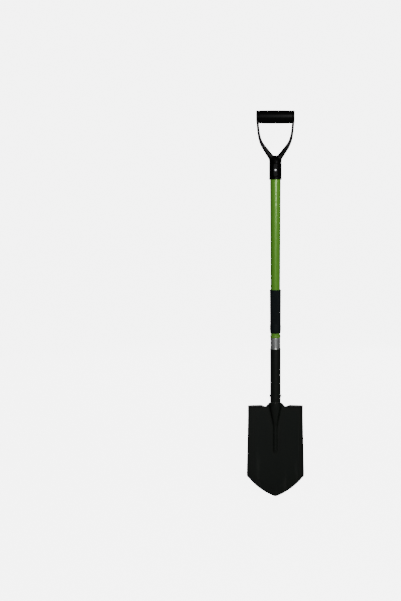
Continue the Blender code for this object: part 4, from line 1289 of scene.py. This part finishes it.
class SHOVEL_OT_yoke(bpy.types.Operator):
    """Mould the yoke: socket, arms, eyes and boss melted together with easy corners"""
    bl_idname = "shovel.yoke"
    bl_label = "D-grip yoke"

    def execute(self, context):
        grip = context.scene.shovel_grip
        wall_inside = TUBE_HIGH.x + SNUG + 0.0009
        shells = [yoke_socket_shell(grip), crotch_shell(grip), arm_shell(-1, grip), arm_shell(1, grip),
                  eye_shell(-1, grip), eye_shell(1, grip), boss_shell(grip, -wall_inside, YOKE_LOW.y),
                  boss_shell(grip, wall_inside, YOKE_HIGH.y)]
        points, faces = [], []
        for shell_points, shell_faces in shells:
            faces += [tuple(i + len(points) for i in face) for face in shell_faces]
            points += list(shell_points)
        obj = mesh_object("yoke_moulding", points, faces)
        fused(obj, grip.voxel)
        relaxed(obj.data, 4)
        crotch = crotch_height(grip)

        def near_crotch(place):
            away = np.sqrt(place[:, 0] ** 2 + (place[:, 2] - crotch) ** 2)
            return smooth_step((CROTCH_REACH - away) / CROTCH_FADE)

        points = relaxed(obj.data, CROTCH_ROUNDS, near_crotch)
        self.press_recess(obj.data, points, grip, crotch)
        obj.data.shade_smooth()
        dressed(obj, "black_plastic", "handle", "grip_yoke")
        return {"FINISHED"}

    def press_recess(self, mesh, points, grip, crotch):
        """A shallow three-cornered thumb recess under the crotch, in front and behind."""
        up = (points[:, 2] - (crotch - RECESS_DROP)) / RECESS_HEIGHT
        spread = RECESS_WIDTH * (0.55 + 0.45 * up)
        away = np.maximum(np.abs(points[:, 0]) / np.maximum(spread, 1e-4), np.abs(up))
        depth = grip.recess * smooth_step((1.0 - away) / 0.25) * (np.abs(points[:, 1]) > 0.006)
        points[:, 1] -= np.sign(points[:, 1]) * depth
        mesh.vertices.foreach_set("co", points.ravel())
        mesh.update()


class SHOVEL_OT_crossbar(bpy.types.Operator):
    """Turn the crowned crossbar sleeve that spins on the rod"""
    bl_idname = "shovel.crossbar"
    bl_label = "Crossbar sleeve"

    def execute(self, context):
        grip = context.scene.shovel_grip
        half, crown = BAR_HIGH.x, (BAR_HIGH.z - BAR_LOW.z) / 2
        bore = (BUSH_HIGH.z - BUSH_LOW.z) / 2 + SNUG
        end_radius = crown - grip.crown / 2
        plain_end = 0.0030
        corners = [(bore, -half, 0.0003), (end_radius, -half, 0.0009)]
        stations = 24
        for k in range(stations + 1):
            across = blended(-1.0, 1.0, k / stations) * (half - plain_end) / half
            corners.append((crown - grip.crown / 2 * across * across, across * half, 0.0))
        corners += [(end_radius, half, 0.0009), (bore, half, 0.0003)]
        points, faces = turned(rounded(corners), sides=FINE_SIDES)
        obj = mesh_object("crossbar_grip", laid(points, along_x(Z_BAR)), faces)
        dressed(obj, "black_plastic", "crossbar", "crossbar_sleeve")
        return {"FINISHED"}


class SHOVEL_OT_fixings(bpy.types.Operator):
    """Set the crossbar's rod, the yoke's rivet and their washers"""
    bl_idname = "shovel.fixings"
    bl_label = "Rod, rivet and washers"

    def execute(self, context):
        head = (ROD_HIGH.z - ROD_LOW.z) / 2
        pin("crossbar_spindle", ROD_RADIUS, head, ROD_DOME, ROD_HIGH.x - ROD_DOME, along_x(Z_BAR),
            "zinc_steel", "crossbar_rod")
        outer = (ROD_WASHER_HIGH.z - ROD_WASHER_LOW.z) / 2
        for side, label in ((-1, "left"), (1, "right")):
            washer(f"spindle_washer_{label}", outer, ROD_HOLE, ROD_WASHER_LOW.x, ROD_WASHER_HIGH.x,
                   along_x(Z_BAR, side), "zinc_steel", f"rod_washer_{label}")
        head = (YOKE_RIVET_HIGH.z - YOKE_RIVET_LOW.z) / 2
        pin("yoke_pin", YOKE_PIN_RADIUS, head, YOKE_PIN_DOME, YOKE_RIVET_HIGH.y - YOKE_PIN_DOME,
            along_y(Z_YOKE_RIVET), "zinc_steel", "grip_rivet")
        outer = (YOKE_WASHER_HIGH.z - YOKE_WASHER_LOW.z) / 2
        washer("yoke_pin_washer", outer, YOKE_PIN_HOLE, YOKE_WASHER_LOW.y, YOKE_WASHER_HIGH.y,
               along_y(Z_YOKE_RIVET, 1), "zinc_steel", "grip_rivet_washer")
        return {"FINISHED"}


class SHOVEL_OT_inner_parts(bpy.types.Operator):
    """Give the bushes and the core plugs, which keep their CAD shape, their nylon finish"""
    bl_idname = "shovel.inner_parts"
    bl_label = "Bushes and plugs"

    def execute(self, context):
        nylon = finish_for("nylon")
        for node in ("crossbar_bush_left", "crossbar_bush_right", "lower_core_plug", "upper_core_plug"):
            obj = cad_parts[node]
            for slot in obj.material_slots:
                slot.material = nylon
        return {"FINISHED"}


# ---------------------------------------------------------------- stage
class SHOVEL_OT_stage(bpy.types.Operator):
    """Lay the pale floor and set the camera, the soft lights and the plain pale surroundings"""
    bl_idname = "shovel.stage"
    bl_label = "Stage"

    BACKDROP = 6.0           # how bright floor and surroundings look
    AMBIENT = 0.07           # how much the surroundings light the shovel
    LIGHTS = (               # name, its power's setting, place, what it points at, width and height
        ("key_light", "key_power", (0.42, -1.50, 1.28), (0.0, 0.0, 0.90), (0.30, 0.80)),
        ("front_fill", "fill_power", (0.05, -1.95, 0.95), (0.0, 0.0, 0.50), (1.2, 1.1)),
        ("rear_left", "rear_power", (-0.9, 1.9, 1.2), (0.0, 0.0, 0.55), (0.8, 1.4)),
        ("rear_right", "rear_power", (0.8, 2.0, 1.0), (0.0, 0.0, 0.55), (0.5, 1.4)),
    )

    def execute(self, context):
        stage = context.scene.shovel_stage
        self.camera(context.scene, stage)
        self.floor(stage)
        self.surroundings(context.scene)
        for name, power, place, target, size in self.LIGHTS:
            self.soft_light(name, getattr(stage, power), place, target, size)
        return {"FINISHED"}

    def camera(self, scene, stage):
        """A level camera in front of the shovel that looks down a little."""
        data = bpy.data.cameras.new("camera")
        data.lens = stage.lens
        data.shift_x = stage.shift
        obj = bpy.data.objects.new("camera", data)
        obj.location = (0.0, -stage.camera_distance, stage.camera_height)
        obj.rotation_euler = (math.pi / 2 - stage.camera_pitch, 0.0, 0.0)
        scene.collection.objects.link(obj)
        scene.camera = obj

    def floor(self, stage):
        """A wide floor that looks pale to the camera and lights nothing."""
        size = stage.floor_radius
        corners = [(-size, -size, 0.0), (size, -size, 0.0), (size, size, 0.0), (-size, size, 0.0)]
        obj = mesh_object("floor", corners, [(0, 1, 2, 3)])
        material = bpy.data.materials.new("pale_floor")
        material.use_nodes = True
        nodes = Nodes(material.node_tree)
        shader = material.node_tree.nodes["Principled BSDF"]
        shader.inputs["Base Color"].default_value = (0.5, 0.5, 0.5, 1.0)
        shader.inputs["Roughness"].default_value = 0.9
        shader.inputs["Emission Strength"].default_value = self.BACKDROP
        seen = nodes.add("ShaderNodeLightPath")
        nodes.feed(shader.inputs["Emission Color"], nodes.mixed(seen, (0.0, 0.0, 0.0), (1.0, 1.0, 1.0)))
        obj.data.materials.append(material)

    def surroundings(self, scene):
        """Pale to the camera, dim as a light."""
        world = bpy.data.worlds.new("pale_surroundings")
        world.use_nodes = True
        nodes = Nodes(world.node_tree)
        background = world.node_tree.nodes["Background"]
        seen = nodes.add("ShaderNodeLightPath")
        nodes.feed(background.inputs["Strength"], seen * self.BACKDROP + self.AMBIENT)
        background.inputs["Color"].default_value = (1.0, 1.0, 1.0, 1.0)
        scene.world = world

    def soft_light(self, name, power, place, target, size):
        """A rectangular light that the camera can't see."""
        data = bpy.data.lights.new(name, "AREA")
        data.shape = "RECTANGLE"
        data.size, data.size_y = size
        data.energy = power
        obj = bpy.data.objects.new(name, data)
        obj.location = place
        obj.rotation_euler = (Vector(target) - Vector(place)).to_track_quat("-Z", "Y").to_euler()
        obj.visible_camera = False
        bpy.context.scene.collection.objects.link(obj)


# ---------------------------------------------------------------- panel and registration
class SHOVEL_PT_panel(bpy.types.Panel):
    """The shovel's pieces and the sizes that they are made from"""
    bl_idname = "SHOVEL_PT_panel"
    bl_label = "Detecting Shovel"
    bl_space_type = "VIEW_3D"
    bl_region_type = "UI"
    bl_category = "Shovel"

    def draw(self, context):
        layout = self.layout
        for operator in OPERATORS:
            layout.operator(operator.bl_idname)
        for name, kind in GROUPS.items():
            box = layout.box()
            box.label(text=kind.__doc__)
            settings = getattr(context.scene, name)
            for setting in kind.__annotations__:
                box.prop(settings, setting)


GROUPS = {"shovel_blade": BladeSizes, "shovel_handle": HandleSizes, "shovel_grip": GripSizes,
          "shovel_finishes": Finishes, "shovel_stage": StageSizes}
OPERATORS = (SHOVEL_OT_stage, SHOVEL_OT_blade, SHOVEL_OT_socket, SHOVEL_OT_welds, SHOVEL_OT_tube,
             SHOVEL_OT_ferrule, SHOVEL_OT_rubber_grip, SHOVEL_OT_yoke, SHOVEL_OT_crossbar,
             SHOVEL_OT_fixings, SHOVEL_OT_inner_parts)


def register():
    for kind in (*GROUPS.values(), *OPERATORS, SHOVEL_PT_panel):
        bpy.utils.register_class(kind)
    for name, kind in GROUPS.items():
        setattr(bpy.types.Scene, name, bpy.props.PointerProperty(type=kind))


def unregister():
    for name in GROUPS:
        delattr(bpy.types.Scene, name)
    for kind in reversed((*GROUPS.values(), *OPERATORS, SHOVEL_PT_panel)):
        bpy.utils.unregister_class(kind)


def main():
    """Make every piece and the stage."""
    register()
    bpy.ops.shovel.stage()
    bpy.ops.shovel.blade()
    bpy.ops.shovel.socket()
    bpy.ops.shovel.welds()
    bpy.ops.shovel.tube()
    bpy.ops.shovel.ferrule()
    bpy.ops.shovel.rubber_grip()
    bpy.ops.shovel.yoke()
    bpy.ops.shovel.crossbar()
    bpy.ops.shovel.fixings()
    bpy.ops.shovel.inner_parts()


if __name__ == "__main__":
    main()
